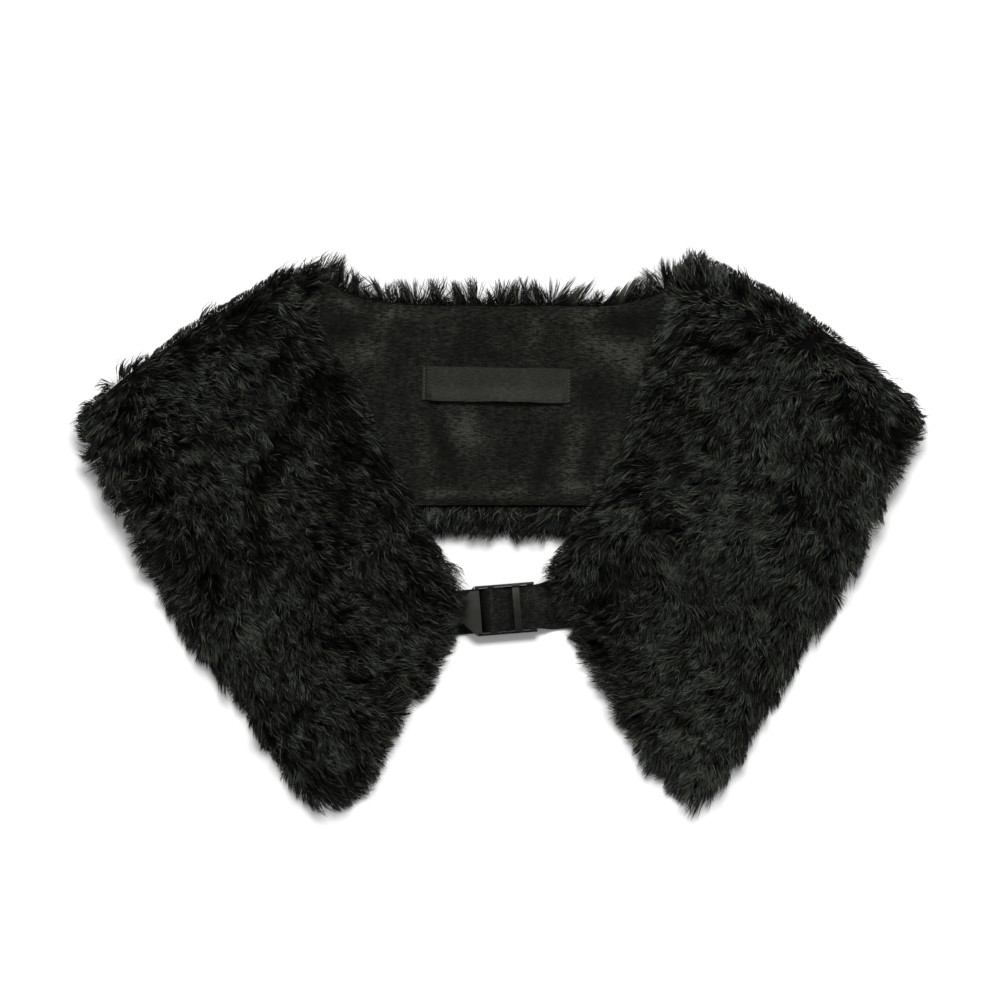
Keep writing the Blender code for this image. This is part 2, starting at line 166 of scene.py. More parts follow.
RIGHT_FLOW = table(
    Flow,
    (150, 124, 150), (161, 117, 165), (170, 110, 190), (178, 104, 255), (187, 103, 325),
    (196, 96, 325), (104, 141, 100), (112, 142, 85), (120, 140, 75), (99, 146, 118),
    (95, 152, 115), (104, 154, 85), (112, 153, 70), (118, 150, 95), (125, 148, 88),
    (136, 143, 115), (146, 137, 80), (155, 132, 75), (161, 128, 105), (168, 123, 105),
    (176, 118, 95), (184, 112, 30), (195, 102, 350), (205, 94, 320), (214, 86, 310),
    (224, 77, 320), (233, 68, 335), (236, 60, 350), (236, 51, 335), (231, 43, 318),
    (224, 34, 302), (220, 24, 295), (214, 12, 285), (208, 0, 290), (200, -15, 285),
    (192, -32, 292), (183, -45, 285), (175, -60, 270), (167, -72, 255), (158, -88, 262),
    (151, -100, 262), (146, -110, 240), (138, -122, 265), (131, -133, 245), (123, -143, 250),
    (116, -152, 275), (106, -153, 255), (96, -148, 235), (86, -139, 222), (79, -128, 215),
    (71, -117, 205), (63, -104, 190), (58, -92, 185), (52, -78, 190), (46, -66, 185),
    (42, -56, 190), (39, -44, 185), (36, -32, 215), (34, -22, 160), (36, -12, 195), (42, 0, 230),
    (46, 12, 185), (56, 18, 205), (62, 30, 215), (67, 40, 215), (70, 54, 228), (74, 66, 232),
    (80, 80, 205), (86, 96, 200), (90, 110, 204), (92, 124, 200), (96, 136, 160), (110, 132, 192),
    (106, 118, 200), (100, 100, 205), (112, 90, 212), (122, 80, 226), (122, 120, 212),
    (130, 108, 210), (140, 100, 232), (152, 110, 248), (140, 120, 200), (160, 108, 240),
    (160, 95, 240), (172, 95, 246), (180, 84, 222), (190, 92, 250), (205, 84, 262),
    (200, 74, 205), (152, 70, 266), (166, 70, 258), (180, 70, 250), (215, 74, 285),
    (226, 64, 335), (214, 58, 300), (200, 50, 282), (196, 38, 285), (182, 35, 268),
    (208, 30, 285), (120, 64, 236), (132, 55, 242), (146, 56, 266), (162, 50, 270),
    (142, 40, 226), (152, 30, 236), (120, 35, 210), (110, 40, 200), (132, 24, 216),
    (146, 14, 212), (162, 22, 230), (175, 18, 245), (192, 12, 275), (150, 4, 202), (172, 0, 235),
    (190, -8, 262), (100, 60, 212), (88, 66, 220), (88, 50, 220), (100, 45, 196), (86, 34, 190),
    (76, 20, 192), (98, 20, 202), (110, 12, 192), (85, 10, 230), (70, 8, 216), (55, 4, 215),
    (65, -6, 272), (71, -12, 286), (80, -16, 296), (90, -16, 300), (100, -10, 260),
    (110, -15, 245), (124, -6, 216), (131, -12, 250), (54, -8, 250), (46, -20, 245),
    (54, -30, 240), (74, -27, 288), (86, -31, 212), (96, -26, 278), (106, -26, 277),
    (110, -40, 285), (120, -30, 266), (126, -46, 276), (136, -25, 240), (150, -18, 230),
    (162, -10, 230), (166, -26, 222), (178, -30, 250), (145, -48, 288), (156, -50, 252),
    (166, -48, 262), (160, -62, 256), (80, -42, 207), (68, -46, 214), (58, -52, 195),
    (64, -62, 188), (86, -52, 246), (97, -54, 216), (106, -58, 212), (56, -70, 182),
    (74, -70, 200), (86, -66, 210), (96, -66, 238), (102, -76, 226), (112, -70, 220),
    (130, -60, 250), (140, -70, 240), (151, -76, 260), (78, -90, 208), (70, -98, 196),
    (90, -98, 210), (102, -94, 212), (92, -114, 230), (112, -90, 220), (121, -96, 214),
    (130, -88, 206), (140, -86, 244), (144, -98, 254), (120, -110, 230), (132, -114, 236),
    (108, -120, 230), (98, -130, 240), (88, -126, 228), (108, -140, 242), (120, -134, 246),
    (110, -148, 258),
)
LEFT_PARTINGS = table(
    Parting,
    (-110, 92, -142, 33, 5.0, 34), (-167, -18, -164, -40, 5.0, 24),
    (-140, 122, -152, 114, 6.0, 20), (-126, 112, -132, 98, 5.0, 22),
    (-110, -52, -92, -66, 5.0, 18), (-142, 18, -146, 2, 4.5, 20), (-58, 28, -80, 4, 4.5, 20),
    (-138, -64, -126, -76, 4.0, 20),
)
RIGHT_PARTINGS = table(
    Parting,
    (110, 112, 132, 106, 5.0, 20), (98, 58, 120, 56, 4.5, 22), (182, 76, 206, 74, 5.0, 22),
    (182, 54, 204, 54, 4.5, 18), (68, -6, 80, -18, 4.5, 20), (168, 30, 172, 14, 6.0, 24),
    (88, 8, 108, 2, 5.5, 20), (56, -38, 70, -52, 5.0, 18), (82, -104, 92, -110, 5.5, 22),
    (102, -102, 112, -106, 4.5, 18),
)

# Places of painted light and shade in the pile of each front
LEFT_GLOWS = table(
    Glow,
    (-155, 122, 33, 120, 26, -1.2), (-206, 36, -78, 124, 20, -0.8), (-128, 112, 80, 40, 26, -1.0),
    (-100, 45, -86, 170, 26, -1.3), (-104, -5, 80, 60, 22, -0.9), (-96, -62, 30, 30, 22, -1.1),
    (-80, -82, -10, 32, 20, -1.0), (-76, -101, 80, 20, 16, -0.9), (-121, -46, 60, 20, 14, -0.8),
    (-52, -32, 0, 24, 18, -0.5), (-184, -15, 60, 24, 16, -0.7), (-95, -149, 0, 50, 12, -0.9),
    (-112, 131, -70, 26, 10, 0.7), (-164, 92, 60, 34, 14, 0.5), (-148, 90, 40, 24, 16, 0.5),
    (-150, 46, 40, 44, 24, 0.5), (-145, -48, 50, 64, 46, 0.9), (-141, -82, 60, 34, 24, 0.8),
    (-124, -35, 60, 26, 14, 0.7), (-85, -45, 20, 16, 10, 1.2), (-96, -124, 10, 54, 22, 0.8),
    (-232, 52, 80, 60, 14, 0.8), (-66, 12, 45, 34, 20, 0.3), (-168, -40, 50, 30, 20, 0.5),
    (-116, 35, 70, 30, 9, 0.8), (-60, -60, 50, 50, 14, -0.3), (-170, 10, 60, 34, 20, 0.3),
    (-118, 55, -60, 24, 9, 0.7), (-130, -110, 60, 34, 14, -0.6), (-104, -110, 60, 150, 110, 0.3),
    (-140, 40, -60, 160, 130, -0.15), (-125, 50, 51, 62, 8, -1.5), (-66, 20, 51, 40, 8, -1.1),
    (-196, 32, 90, 34, 9, -1.1), (-110, 84, 60, 24, 9, -0.8),
)
RIGHT_GLOWS = table(
    Glow,
    (152, 120, -30, 110, 24, -0.6), (118, 108, 0, 26, 14, -1.1), (182, 105, -20, 34, 16, -0.9),
    (214, 64, -12, 50, 20, -1.0), (104, 70, -5, 56, 20, -0.9), (88, 44, -60, 34, 20, -0.8),
    (97, 14, -62, 70, 22, -1.3), (172, 22, 20, 34, 26, -0.9), (61, -36, 85, 64, 26, -1.0),
    (76, -86, -55, 44, 16, -0.9), (86, -103, 0, 20, 14, -0.7), (114, -72, 0, 34, 16, -0.6),
    (94, -142, -50, 34, 14, -0.9), (184, 50, 0, 40, 16, -0.5), (130, 130, -35, 40, 16, -0.6),
    (126, 14, 60, 44, 26, 1.0), (135, -26, -15, 74, 36, 0.6), (150, 10, 60, 70, 40, 0.4),
    (108, -126, 70, 46, 36, 1.3), (206, 14, 75, 70, 18, 0.8), (214, 84, -40, 28, 14, 0.7),
    (156, 80, -30, 30, 18, 0.6), (101, 125, 80, 24, 18, 0.8), (176, -38, 60, 44, 24, 0.6),
    (95, -10, -20, 30, 14, 0.5), (118, 48, 20, 30, 18, 0.5), (92, -48, 50, 34, 24, 0.4),
    (140, -100, 60, 40, 20, 0.4), (228, 42, 70, 30, 12, 0.4), (130, -20, 60, 600, 500, 0.45),
    (104, -110, 60, 150, 110, 0.6), (134, 146, -35, 80, 12, -0.9), (199, 73, -10, 30, 9, -0.8),
)

NECK_TUFTS = table(
    Tuft,
    (-102, 12, 62, 4), (-96, 11, 80, 5), (-89, 9, 76, 4), (-83.5, 13, 98, 3), (-77, 5, 100, 2.5),
    (-66.5, 15, 96, 4.6), (-58, 9, 118, 2), (-51.5, 13, 108, 3), (-44.5, 9, 112, 1.7),
    (-38, 13, 84, 2), (-34.5, 12, 100, 1.8), (-24, 16, 98, 4.8), (-15.5, 11, 118, 4.2),
    (-7, 4, 130, 3), (1, 17, 92, 4.8), (8.5, 14, 74, 4.2), (16, 7, 80, 3), (22, 8, 72, 3.6),
    (30, 8, 60, 4.6), (37.5, 8, 50, 4), (42, 9, 36, 1.8), (53, 7, 40, 2.4), (61, 9, 48, 2.8),
    (69, 17, 88, 4.6), (76.5, 10, 76, 3), (84, 10, 96, 3), (92, 16, 100, 5), (99, 13, 92, 4),
)

LEFT_REACHES = table(
    Reach,
    (-218, 95, 6, 13), (-238, 72, 3, 6), (-241, 44, 3, 4), (-128, -135, -2, 12),
    (-75, -140, 2, 12), (-30, -58, 3, 8), (-29, -46, 6, 8), (-29, -33, 10, 9), (-30, -22, 4, 7),
    (-165, 129, 5, 3.5), (-139, 143, 4, 3), (-122, 149, 3, 3), (-103, 156, 4, 5),
    (-106, 146, 5, 9), (-94, 144, 5, 7), (-224, 86, 4, 7), (-145, 141, -2.2, 15),
    (-229, 28, -2.2, 17), (-189, -40, -1.5, 10), (-166, -76, -2.2, 11), (-34, -71, 2.5, 6),
    (-80, 82, 3, 5), (-67, 58, -2, 5), (-60, 50, 3, 5), (-88, 104, 3, 4), (-242, 60, 4, 4),
    (-239, 30, 3, 4), (-232, 14, 3, 4),
)
RIGHT_REACHES = table(
    Reach,
    (27, -20, 7, 7), (110, -158, 3, 9), (209, 96, -1, 12), (195, -34, 1.5, 10),
    (184, 115, -1, 15), (160, 135, 5, 4), (153, 137, 2, 3), (166, 131, 3, 2.5), (135, 149, 6, 4),
    (125, 156, 4, 3), (113, 158, 4, 8), (104, 158, 3, 5), (240, 59, 2, 4), (102, 148, 4, 8),
    (92, 149, 5, 6), (88, 140, 4, 6), (148, 138, -2, 9), (65, -105, 3.5, 10), (85, -134, 3.5, 12),
    (45, -68, 2, 8), (98, -149, 2, 6), (227, 37, -2.5, 10), (217, 14, -2.5, 9),
    (124, -142, -3, 9), (72, 92, 3, 5), (76, 104, -3, 5), (57, 66, 3, 5), (84, 122, 4, 4),
)

BACK_CREASES = table(
    Crease,
    (64, 106, -34, 56, 17, 1.3), (36, 42, 66, 44, 13, 0.9), (60, 48, 80, 34, 12, 0.9),
    (-62, 126, -8, 30, 14, 0.8), (-76, 95, 4, 34, 16, 0.9), (-88, 112, 30, 34, 12, -0.35),
    (0, 56, 85, 36, 20, 0.5), (-16, 47, 76, 32, 15, 0.5), (-38, 36, 2, 40, 15, 0.6),
    (28, 26, -6, 44, 12, 0.6), (24, 48, 66, 46, 12, -0.4), (10, 121, 88, 26, 16, 0.5),
    (32, 124, 80, 28, 12, 0.4), (-20, 122, 84, 24, 12, 0.35), (-60, 60, 58, 46, 18, 0.6),
    (78, 70, 62, 40, 14, -0.3), (-4, 22.5, -1, 118, 6, 0.5),
)
FRONT_CREASES = table(
    Crease,
    (96, -92, 62, 70, 16, 0.7), (122, -28, 38, 90, 20, 0.8), (76, -30, 84, 60, 15, 0.6),
    (168, -18, 55, 64, 14, 0.6), (158, 34, 20, 70, 18, 0.7), (206, 52, 70, 44, 14, 0.5),
    (140, -66, 12, 50, 12, 0.5),
)

# Places of painted sheen and shade on the back's lining
LINING_GLOWS = table(
    Glow,
    (-58, 125, -5, 44, 12, 0.7), (-90, 131, -25, 26, 9, 1.1), (-92, 117, 10, 36, 17, -1.0),
    (-67, 122, 60, 22, 12, 0.7), (-80, 101, 25, 48, 24, 0.8), (45, 126, 5, 54, 12, 0.7),
    (68, 103, -35, 68, 30, 1.2), (73, 120, 8, 60, 20, -1.2), (39, 42, 80, 52, 16, 1.1),
    (61, 46, 75, 46, 14, 1.0), (50, 42, 78, 46, 9, -0.4), (45, 26, 4, 38, 11, 1.0),
    (25, 46, 72, 54, 13, -0.9), (-20, 59, -60, 38, 22, 1.1), (-5, 55, 0, 20, 12, 0.5),
    (-33, 50, -70, 56, 11, -0.9), (-45, 48, -80, 44, 12, 0.6), (-32, 23, 0, 44, 8, 0.9),
    (2, 23, 6, 34, 8, 0.8), (-8, 111, 0, 46, 26, -0.5), (52, 80, 0, 30, 26, -0.7),
    (8, 48, 80, 44, 20, -0.3), (-60, 98, 85, 56, 14, -0.5), (-72, 68, 60, 40, 14, -0.4),
    (-10, 102, 0, 70, 6, -0.4), (18, 114, 70, 26, 10, 0.6), (-28, 114, 80, 24, 10, 0.5),
    (-60, 40, 50, 44, 14, -0.4), (78, 78, 60, 30, 14, -0.5), (0, 17.5, -1, 110, 4, -0.9),
)

# The label and its stitches, in millimetres
LABEL_SIZE = (85.0, 19.5)
LABEL_MIDDLE = -4.0
LABEL_TURN = math.radians(-1.0)
LABEL_THICKNESS = 0.45
LABEL_FLAT_PAST = 36.5
# Where the painted shade along each end's seam lies, and how far it spreads, in metres
LABEL_SEAM_SHADE = (0.0411, 0.0008)
STITCH_RADIUS = 0.36
STITCH_COLUMN = 41.3
STITCH_ROWS = (-8.4, 8.5, 1.87)

# Each strap's width and its length along the webbing, in millimetres
LEFT_STRAP = (25.4, 24.5)
RIGHT_STRAP = (27.0, 79.5)

# The skin under the fronts' pile: its height over its lining, its thickness at the edge, its
# depth beneath the pile's reach, and how far in from its edge it is rounded, in millimetres.
# It stops short of the outline by one inset at the fold and by another elsewhere, and by more
# where the pile lies outwards
SKIN_CLEARANCE = 0.3
SKIN_THICKNESS = 1.2
SKIN_DEPTH = 5.1
SKIN_ROUNDING = 6.0
FOLD_INSET = 1.3
EDGE_INSET = 3.5
OUTWARD_INSET = 4.5

# How much the fronts' places of painted light and shade are strengthened, and the share of hairs in
# full thickness among the fronts' pile
FRONT_CONTRAST = 1.5
THICK_SHARE = 1 / 3

# The back panel's fur: gaps between roots, the height of its skin, and where the fronts
# begin to hide its edge, in millimetres, with the share of locks kept there
EDGE_GAP = 0.72
UNDER_GAP = 3.7
BACK_SKIN = (4.0, 6.9)
HIDDEN_PAST = 104
HIDDEN_SHARE = 0.4

# Lengths of the back's locks along the hem, at the neck edge between the tufts, and at the
# ends, in millimetres, and the stops that darken the neck edge
HEM_LENGTH, NECK_LENGTH, END_LENGTH = 12.5, 1.8, 2.2
NECK_STOPS = -0.9

# How softly the pile follows the flow table's rows, in square millimetres, and the push of a
# parting that turns the pile by 45 degrees
FLOW_BLUR = 12
FULL_PUSH = 24

# The distance between the points of an outline, in millimetres
OUTLINE_STEP = 1.5

# How far a glow reaches on each side, as a share of its length and width
GLOW_REACH = 0.62


def length_setting(name, description, default, **limits):
    return FloatProperty(
        name=name, description=description, default=default, unit="LENGTH", **limits
    )


def share_setting(name, description, default, low=0.0):
    return FloatProperty(
        name=name, description=description, default=default, min=low, max=1, subtype="FACTOR"
    )


def colour_setting(name, description, default):
    return FloatVectorProperty(
        name=name, description=description, default=default, min=0, max=1, subtype="COLOR"
    )


class FurSettings(bpy.types.PropertyGroup):
    """The pile's sizes, lie and colours"""

    pile_length: length_setting(
        "Pile length", "Length of a lock from the cloth to its tip", 0.0126, min=0.005, max=0.03
    )
    lock_width: length_setting(
        "Lock width",
        "Width of a lock at its widest",
        0.00047,
        min=0.0003,
        max=0.003,
        precision=5,
    )
    fine_width: share_setting(
        "Fine hair width",
        "Width of the fine hairs between the locks, as a share of a lock's",
        0.70,
        0.3,
    )
    front_gap: length_setting(
        "Gap on the fronts",
        "Distance between the roots of neighbouring locks and hairs on the two fronts",
        0.000895,
        min=0.00087,
        max=0.005,
        precision=5,
    )
    wisp_gap: length_setting(
        "Wisp size",
        "Distance between wisps, in each of which the locks' tips come together",
        0.0030,
        min=0.001,
        max=0.01,
        precision=4,
    )
    clump_gap: length_setting(
        "Clump size", "Distance between clumps of wisps", 0.0105, min=0.004, max=0.03, precision=4
    )
    wisp_pull: share_setting("Wisp pull", "How far the tips in a wisp come together", 0.46)
    clump_pull: share_setting("Clump pull", "How far the wisps in a clump come together", 0.14)
    lift: FloatProperty(
        name="Lift",
        description="Angle at which a lock leaves the cloth",
        default=math.radians(36),
        min=0,
        max=math.radians(90),
        unit="ROTATION",
    )
    curl: length_setting(
        "Curl", "How far a lock sways to the side", 0.0015, min=0, max=0.004, precision=5
    )
    seed: IntProperty(
        name="Seed", description="Start of the pile's own variation", default=4, min=0
    )
    # The root colour holds the painted shade of the pile's depth, and the skin under the pile takes
    # it too
    root_shade_colour: colour_setting(
        "Root shade colour", "Colour of the fibres near the cloth, with the pile's painted depth shade", (0.0005, 0.0006, 0.0004)
    )
    tip_colour: colour_setting("Tip colour", "Colour of the fibres' ends", (0.1190, 0.1300, 0.1085))


class ClothSettings(bpy.types.PropertyGroup):
    """The lining's, the label's and the strap's sizes and colours"""

    lining_thickness: length_setting(
        "Lining thickness",
        "Thickness of the lining with its turned edges",
        0.0007,
        min=0.0003,
        max=0.001,
        precision=5,
    )
    crease_share: share_setting("Creases", "Share of the creases' full height", 1.0)
    lining_colour: colour_setting(
        "Lining colour", "Colour of the lining's threads", (0.0030, 0.0032, 0.0025)
    )
    # The slub colour is also the colour of the lining's painted sheen
    slub_and_sheen_colour: colour_setting(
        "Slub and sheen colour", "Colour of the lining's thicker, lighter threads and of its painted sheen", (0.0365, 0.0374, 0.0318)
    )
    label_colour: colour_setting(
        "Label colour", "Colour of the label's satin", (0.0250, 0.0258, 0.0212)
    )
    webbing_colour: colour_setting(
        "Webbing colour", "Colour of the strap", (0.0029, 0.0030, 0.0026)
    )


class BuckleSettings(bpy.types.PropertyGroup):
    """The buckle's plastic"""

    plastic_colour: colour_setting(
        "Plastic colour", "Colour of the buckle", (0.0300, 0.0306, 0.0264)
    )
    plastic_roughness: share_setting(
        "Plastic roughness", "Roughness of the buckle's grained faces", 0.36
    )


class StageSettings(bpy.types.PropertyGroup):
    """The camera, the table and the lights"""

    view_width: length_setting(
        "View width", "Width of what the camera sees at the collar", 0.57, min=0.1
    )
    camera_height: length_setting(
        "Camera height", "Height of the camera over the table", 2.4, min=0.5
    )
    floor_colour: colour_setting("Floor colour", "Colour of the table", (0.92, 0.92, 0.92))
    key_energy: FloatProperty(
        name="Key light",
        description="Power of the large light beyond the neck edge",
        default=46.0,
        min=0,
        unit="POWER",
    )
    sky_strength: FloatProperty(
        name="Fill", description="Strength of the even light from all round", default=0.62, min=0
    )


class CollarSettings(bpy.types.PropertyGroup):
    """All of the collar's settings"""

    fur: PointerProperty(type=FurSettings)
    cloth: PointerProperty(type=ClothSettings)
    buckle: PointerProperty(type=BuckleSettings)
    stage: PointerProperty(type=StageSettings)


# Modelling


def ease(share):
    """A smooth step from zero to one."""
    share = np.clip(share, 0, 1)
    return share * share * (3 - 2 * share)


def drift(points, size, seed):
    """Smooth, repeatable variation over the plan, mostly from -1 to 1, with features of a size."""
    chance = np.random.default_rng(seed)
    turns = chance.uniform(0, TAU, 10)
    pitch = TAU / size * chance.uniform(0.55, 1.3, 10)
    waves = np.stack([np.cos(turns) * pitch, np.sin(turns) * pitch])
    return np.cos(points[:, :2] @ waves + chance.uniform(0, TAU, 10)).sum(1) / 3.2


def deselect():
    bpy.ops.object.select_all(action="DESELECT")


def pick(thing):
    deselect()
    thing.select_set(True)
    bpy.context.view_layer.objects.active = thing


@contextmanager
def editing(thing, whole=True):
    """Edit mode on one mesh, with all of it selected unless whole is false."""
    pick(thing)
    bpy.ops.object.mode_set(mode="EDIT")
    if whole:
        bpy.ops.mesh.select_all(action="SELECT")
    yield
    bpy.ops.object.mode_set(mode="OBJECT")


def apply(thing, kind, **values):
    """Adds a modifier with these values and applies it."""
    pick(thing)
    modifier = thing.modifiers.new(kind.lower(), kind)
    for key, value in values.items():
        setattr(modifier, key, value)
    bpy.ops.object.modifier_apply(modifier=modifier.name)


def select_faces(thing, wanted):
    """Selects the faces that pass the test and nothing else."""
    mesh = thing.data
    mesh.vertices.foreach_set("select", [False] * len(mesh.vertices))
    mesh.edges.foreach_set("select", [False] * len(mesh.edges))
    for polygon in mesh.polygons:
        polygon.select = bool(wanted(polygon))


def points_of(mesh):
    """The mesh's points, in millimetres."""
    flat = np.zeros(len(mesh.vertices) * 3)
    mesh.vertices.foreach_get("co", flat)
    return flat.reshape(-1, 3) / MM


def set_points(mesh, points):
    """Moves the mesh's points to these places, in millimetres."""
    mesh.vertices.foreach_set("co", (points * MM).ravel())
    mesh.update()


def copy_node(node, name):
    """A CAD node's own copy to work on, with its doubled points merged."""
    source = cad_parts[node]
    copy = bpy.data.objects.new(name, source.data.copy())
    copy.data.name = name
    copy.data.materials.clear()
    bpy.context.scene.collection.objects.link(copy)
    with editing(copy):
        bpy.ops.mesh.select_mode(type="FACE")
        bpy.ops.mesh.remove_doubles(threshold=1e-6)
    return copy


def sheet_from(node, name, facing, levels):
    """One side of a CAD cloth solid as an open sheet, with its grid of quads made finer."""
    sheet = copy_node(node, name)
    select_faces(sheet, lambda polygon: polygon.normal.z * facing < 0.5)
    with editing(sheet, whole=False):
        bpy.ops.mesh.delete(type="FACE")
        bpy.ops.mesh.select_all(action="SELECT")
        bpy.ops.mesh.tris_convert_to_quads(face_threshold=1.0, shape_threshold=1.5)
    kept = "PRESERVE_CORNERS"
    apply(sheet, "SUBSURF", levels=levels, render_levels=levels, boundary_smooth=kept)
    return sheet


def rim_of(sheet):
    """The sheet's edge as a closed run of points, with the way out of the sheet at each."""
    work = bmesh.new()
    work.from_mesh(sheet.data)
    start = next(edge for edge in work.edges if edge.is_boundary)
    loop = start.link_loops[0]
    points, index = [], []
    first = loop.vert
    while True:
        points.append(np.array(loop.vert.co) / MM)
        index.append(loop.vert.index)
        loop = loop.link_loop_next
        while not loop.edge.is_boundary:
            loop = loop.link_loop_radial_next.link_loop_next
        if loop.vert == first:
            break
    up = start.link_faces[0].normal.z > 0
    work.free()
    points = np.array(points)
    along = np.roll(points, -1, 0) - np.roll(points, 1, 0)
    out = np.stack([along[:, 1], -along[:, 0]], 1) * (1 if up else -1)
    return points, out / np.linalg.norm(out, axis=1)[:, None], index


def spaced(rim, out, step):
    """A closed run again, with points a step apart."""
    closed = np.vstack([rim, rim[:1]])
    ways = np.vstack([out, out[:1]])
    run = np.concatenate([[0], np.cumsum(np.linalg.norm(np.diff(closed, axis=0), axis=1))])
    at = np.linspace(0, run[-1], int(run[-1] / step) + 1)[:-1]
    points = np.stack([np.interp(at, run, closed[:, k]) for k in range(3)], 1)
    ways = np.stack([np.interp(at, run, ways[:, k]) for k in range(2)], 1)
    return points, ways / np.linalg.norm(ways, axis=1)[:, None]


def nearest_edge(points, rim, out):
    """How far inside the edge each point is in plan, and the way out at the nearest place."""
    tree = KDTree(len(rim))
    for i, (x, y, _) in enumerate(rim):
        tree.insert((x, y, 0), i)
    tree.balance()
    index = np.array([tree.find((x, y, 0))[1] for x, y in points[:, :2]])
    inside = ((rim[index, :2] - points[:, :2]) * out[index]).sum(1)
    return inside, out[index]


def rotated(x, y, turn):
    """Plan places, turned about the middle."""
    cos, sin = math.cos(turn), math.sin(turn)
    return x * cos - y * sin, x * sin + y * cos


def turned(points, row):
    """Distances along and across a row's own direction, from its middle."""
    turn = math.radians(row.degrees)
    x, y = points[:, 0] - row.x, points[:, 1] - row.y
    along = x * math.cos(turn) + y * math.sin(turn)
    return along, y * math.cos(turn) - x * math.sin(turn)


def crease(sheet, creases, share):
    """Raises or lowers a sheet along each crease, which bends a little on its way."""
    points = points_of(sheet.data)
    for fold in creases:
        along, across = turned(points, fold)
        along, across = along / (fold.length / 2), across / (fold.width / 2)
        across = across + 0.35 * np.sin(along * 2.6 + fold.x)
        rise = np.clip(1 - along**2, 0, 1) ** 1.5 * np.clip(1 - across**2, 0, 1) ** 2
        points[:, 2] += fold.height * share * rise
    set_points(sheet.data, points)


def tree_of(*nodes):
    """The surface of these CAD nodes, in metres, for rays."""
    vertices, faces = [], []
    for node in nodes:
        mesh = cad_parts[node].data
        start = len(vertices)
        vertices += [v.co.copy() for v in mesh.vertices]
        faces += [[start + i for i in p.vertices] for p in mesh.polygons]
    return BVHTree.FromPolygons(vertices, faces)


def heights(tree, points, missing, down=True):
    """The surface's height over or under each plan point, in millimetres."""
    start, way = (0.1, Vector((0, 0, -1))) if down else (-0.1, Vector((0, 0, 1)))
    found = np.full(len(points), missing, float)
    for i, (x, y) in enumerate(points[:, :2] * MM):
        place = tree.ray_cast(Vector((x, y, start)), way)[0]
        if place is not None:
            found[i] = place.z / MM
    return found


def finish(thing, slot, *nodes):
    """Puts a piece on the body, in place of its CAD nodes. The slot is not used."""
    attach(thing, "root")
    if nodes:
        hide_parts(*nodes)


def smooth(thing, degrees):
    """Shades smoothly across edges that turn by less than this."""
    pick(thing)
    bpy.ops.object.shade_smooth_by_angle(angle=math.radians(degrees))


# Pile


class Roots(NamedTuple):
    """Where the locks start: places, the cloth's normals, distances inside the cloth's edge
    and the way out at the edge."""

    at: np.ndarray
    normal: np.ndarray
    inside: np.ndarray
    out: np.ndarray

    def part(self, mask):
        return Roots(*(values[mask] for values in self))


def scatter(skin, gap, chance, below=False):
    """Places a gap apart in plan on the skin's upper side, or on its lower one, with the smooth
    normal at each."""
    points = points_of(skin.data)
    normals = np.array([v.normal for v in skin.data.vertices])
    faces = [list(p.vertices) for p in skin.data.polygons]
    tree = BVHTree.FromPolygons([Vector(p) for p in points], faces)
    low, high = points.min(0), points.max(0)
    columns, rows = (int(n) for n in np.ceil((high - low)[:2] / gap))
    i, j = np.meshgrid(np.arange(columns), np.arange(rows))
    x = low[0] + (i.ravel() + chance.random(i.size)) * gap
    y = low[1] + (j.ravel() + chance.random(j.size)) * gap
    start, way = (-100.0, Vector((0, 0, 1))) if below else (100.0, Vector((0, 0, -1)))
    at, normal = [], []
    for across, along in zip(x, y):
        place, _, face, _ = tree.ray_cast(Vector((across, along, start)), way)
        if place is None:
            continue
        corners = faces[face]
        near = 1 / (((points[corners, :2] - (across, along)) ** 2).sum(1) + 0.3)
        at.append(place)
        normal.append(near @ normals[corners])
    at, normal = np.array(at), np.array(normal)
    return at, normal / np.linalg.norm(normal, axis=1)[:, None]


def round_the_rim(rim, out, gap, low, high, chance):
    """Places a gap apart on the upright side of a cloth between two heights over its rim."""
    at, normal = [], []
    for height in np.arange(low, high, gap):
        ring, way = spaced(rim, out, gap)
        ring = ring + np.array((0, 0, height)) + chance.normal(0, 0.3 * gap, ring.shape)
        at.append(ring)
        normal.append(np.column_stack([way, np.full(len(way), 0.1)]))
    at, normal = np.concatenate(at), np.concatenate(normal)
    return at, normal / np.linalg.norm(normal, axis=1)[:, None]


def cells(points, size, seed):
    """Gathers plan points round an uneven grid of middles, and gives each one's group."""
    chance = np.random.default_rng(seed)
    low = np.floor(points[:, :2].min(0) / size).astype(int) - 2
    span = np.ceil(points[:, :2].max(0) / size).astype(int) - low + 3
    spots = chance.random((*span, 2))
    home = np.floor(points[:, :2] / size).astype(int) - low
    best, group = np.full(len(points), np.inf), np.zeros(len(points), int)
    for i in (-1, 0, 1):
        for j in (-1, 0, 1):
            cell = home + (i, j)
            middle = (cell + low + spots[cell[:, 0], cell[:, 1]]) * size
            far = ((middle - points[:, :2]) ** 2).sum(1)
            nearer = far < best
            best = np.where(nearer, far, best)
            group = np.where(nearer, cell[:, 0] * span[1] + cell[:, 1], group)
    return np.unique(group, return_inverse=True)[1]


def group_mean(values, group):
    """Each one's group's mean."""
    total = np.zeros((group.max() + 1, values.shape[1]))
    np.add.at(total, group, values)
    return (total / np.bincount(group)[:, None])[group]


def by_group(group, chance, low, high):
    """One chance value for each group, given to all in it."""
    return chance.uniform(low, high, group.max() + 1)[group]


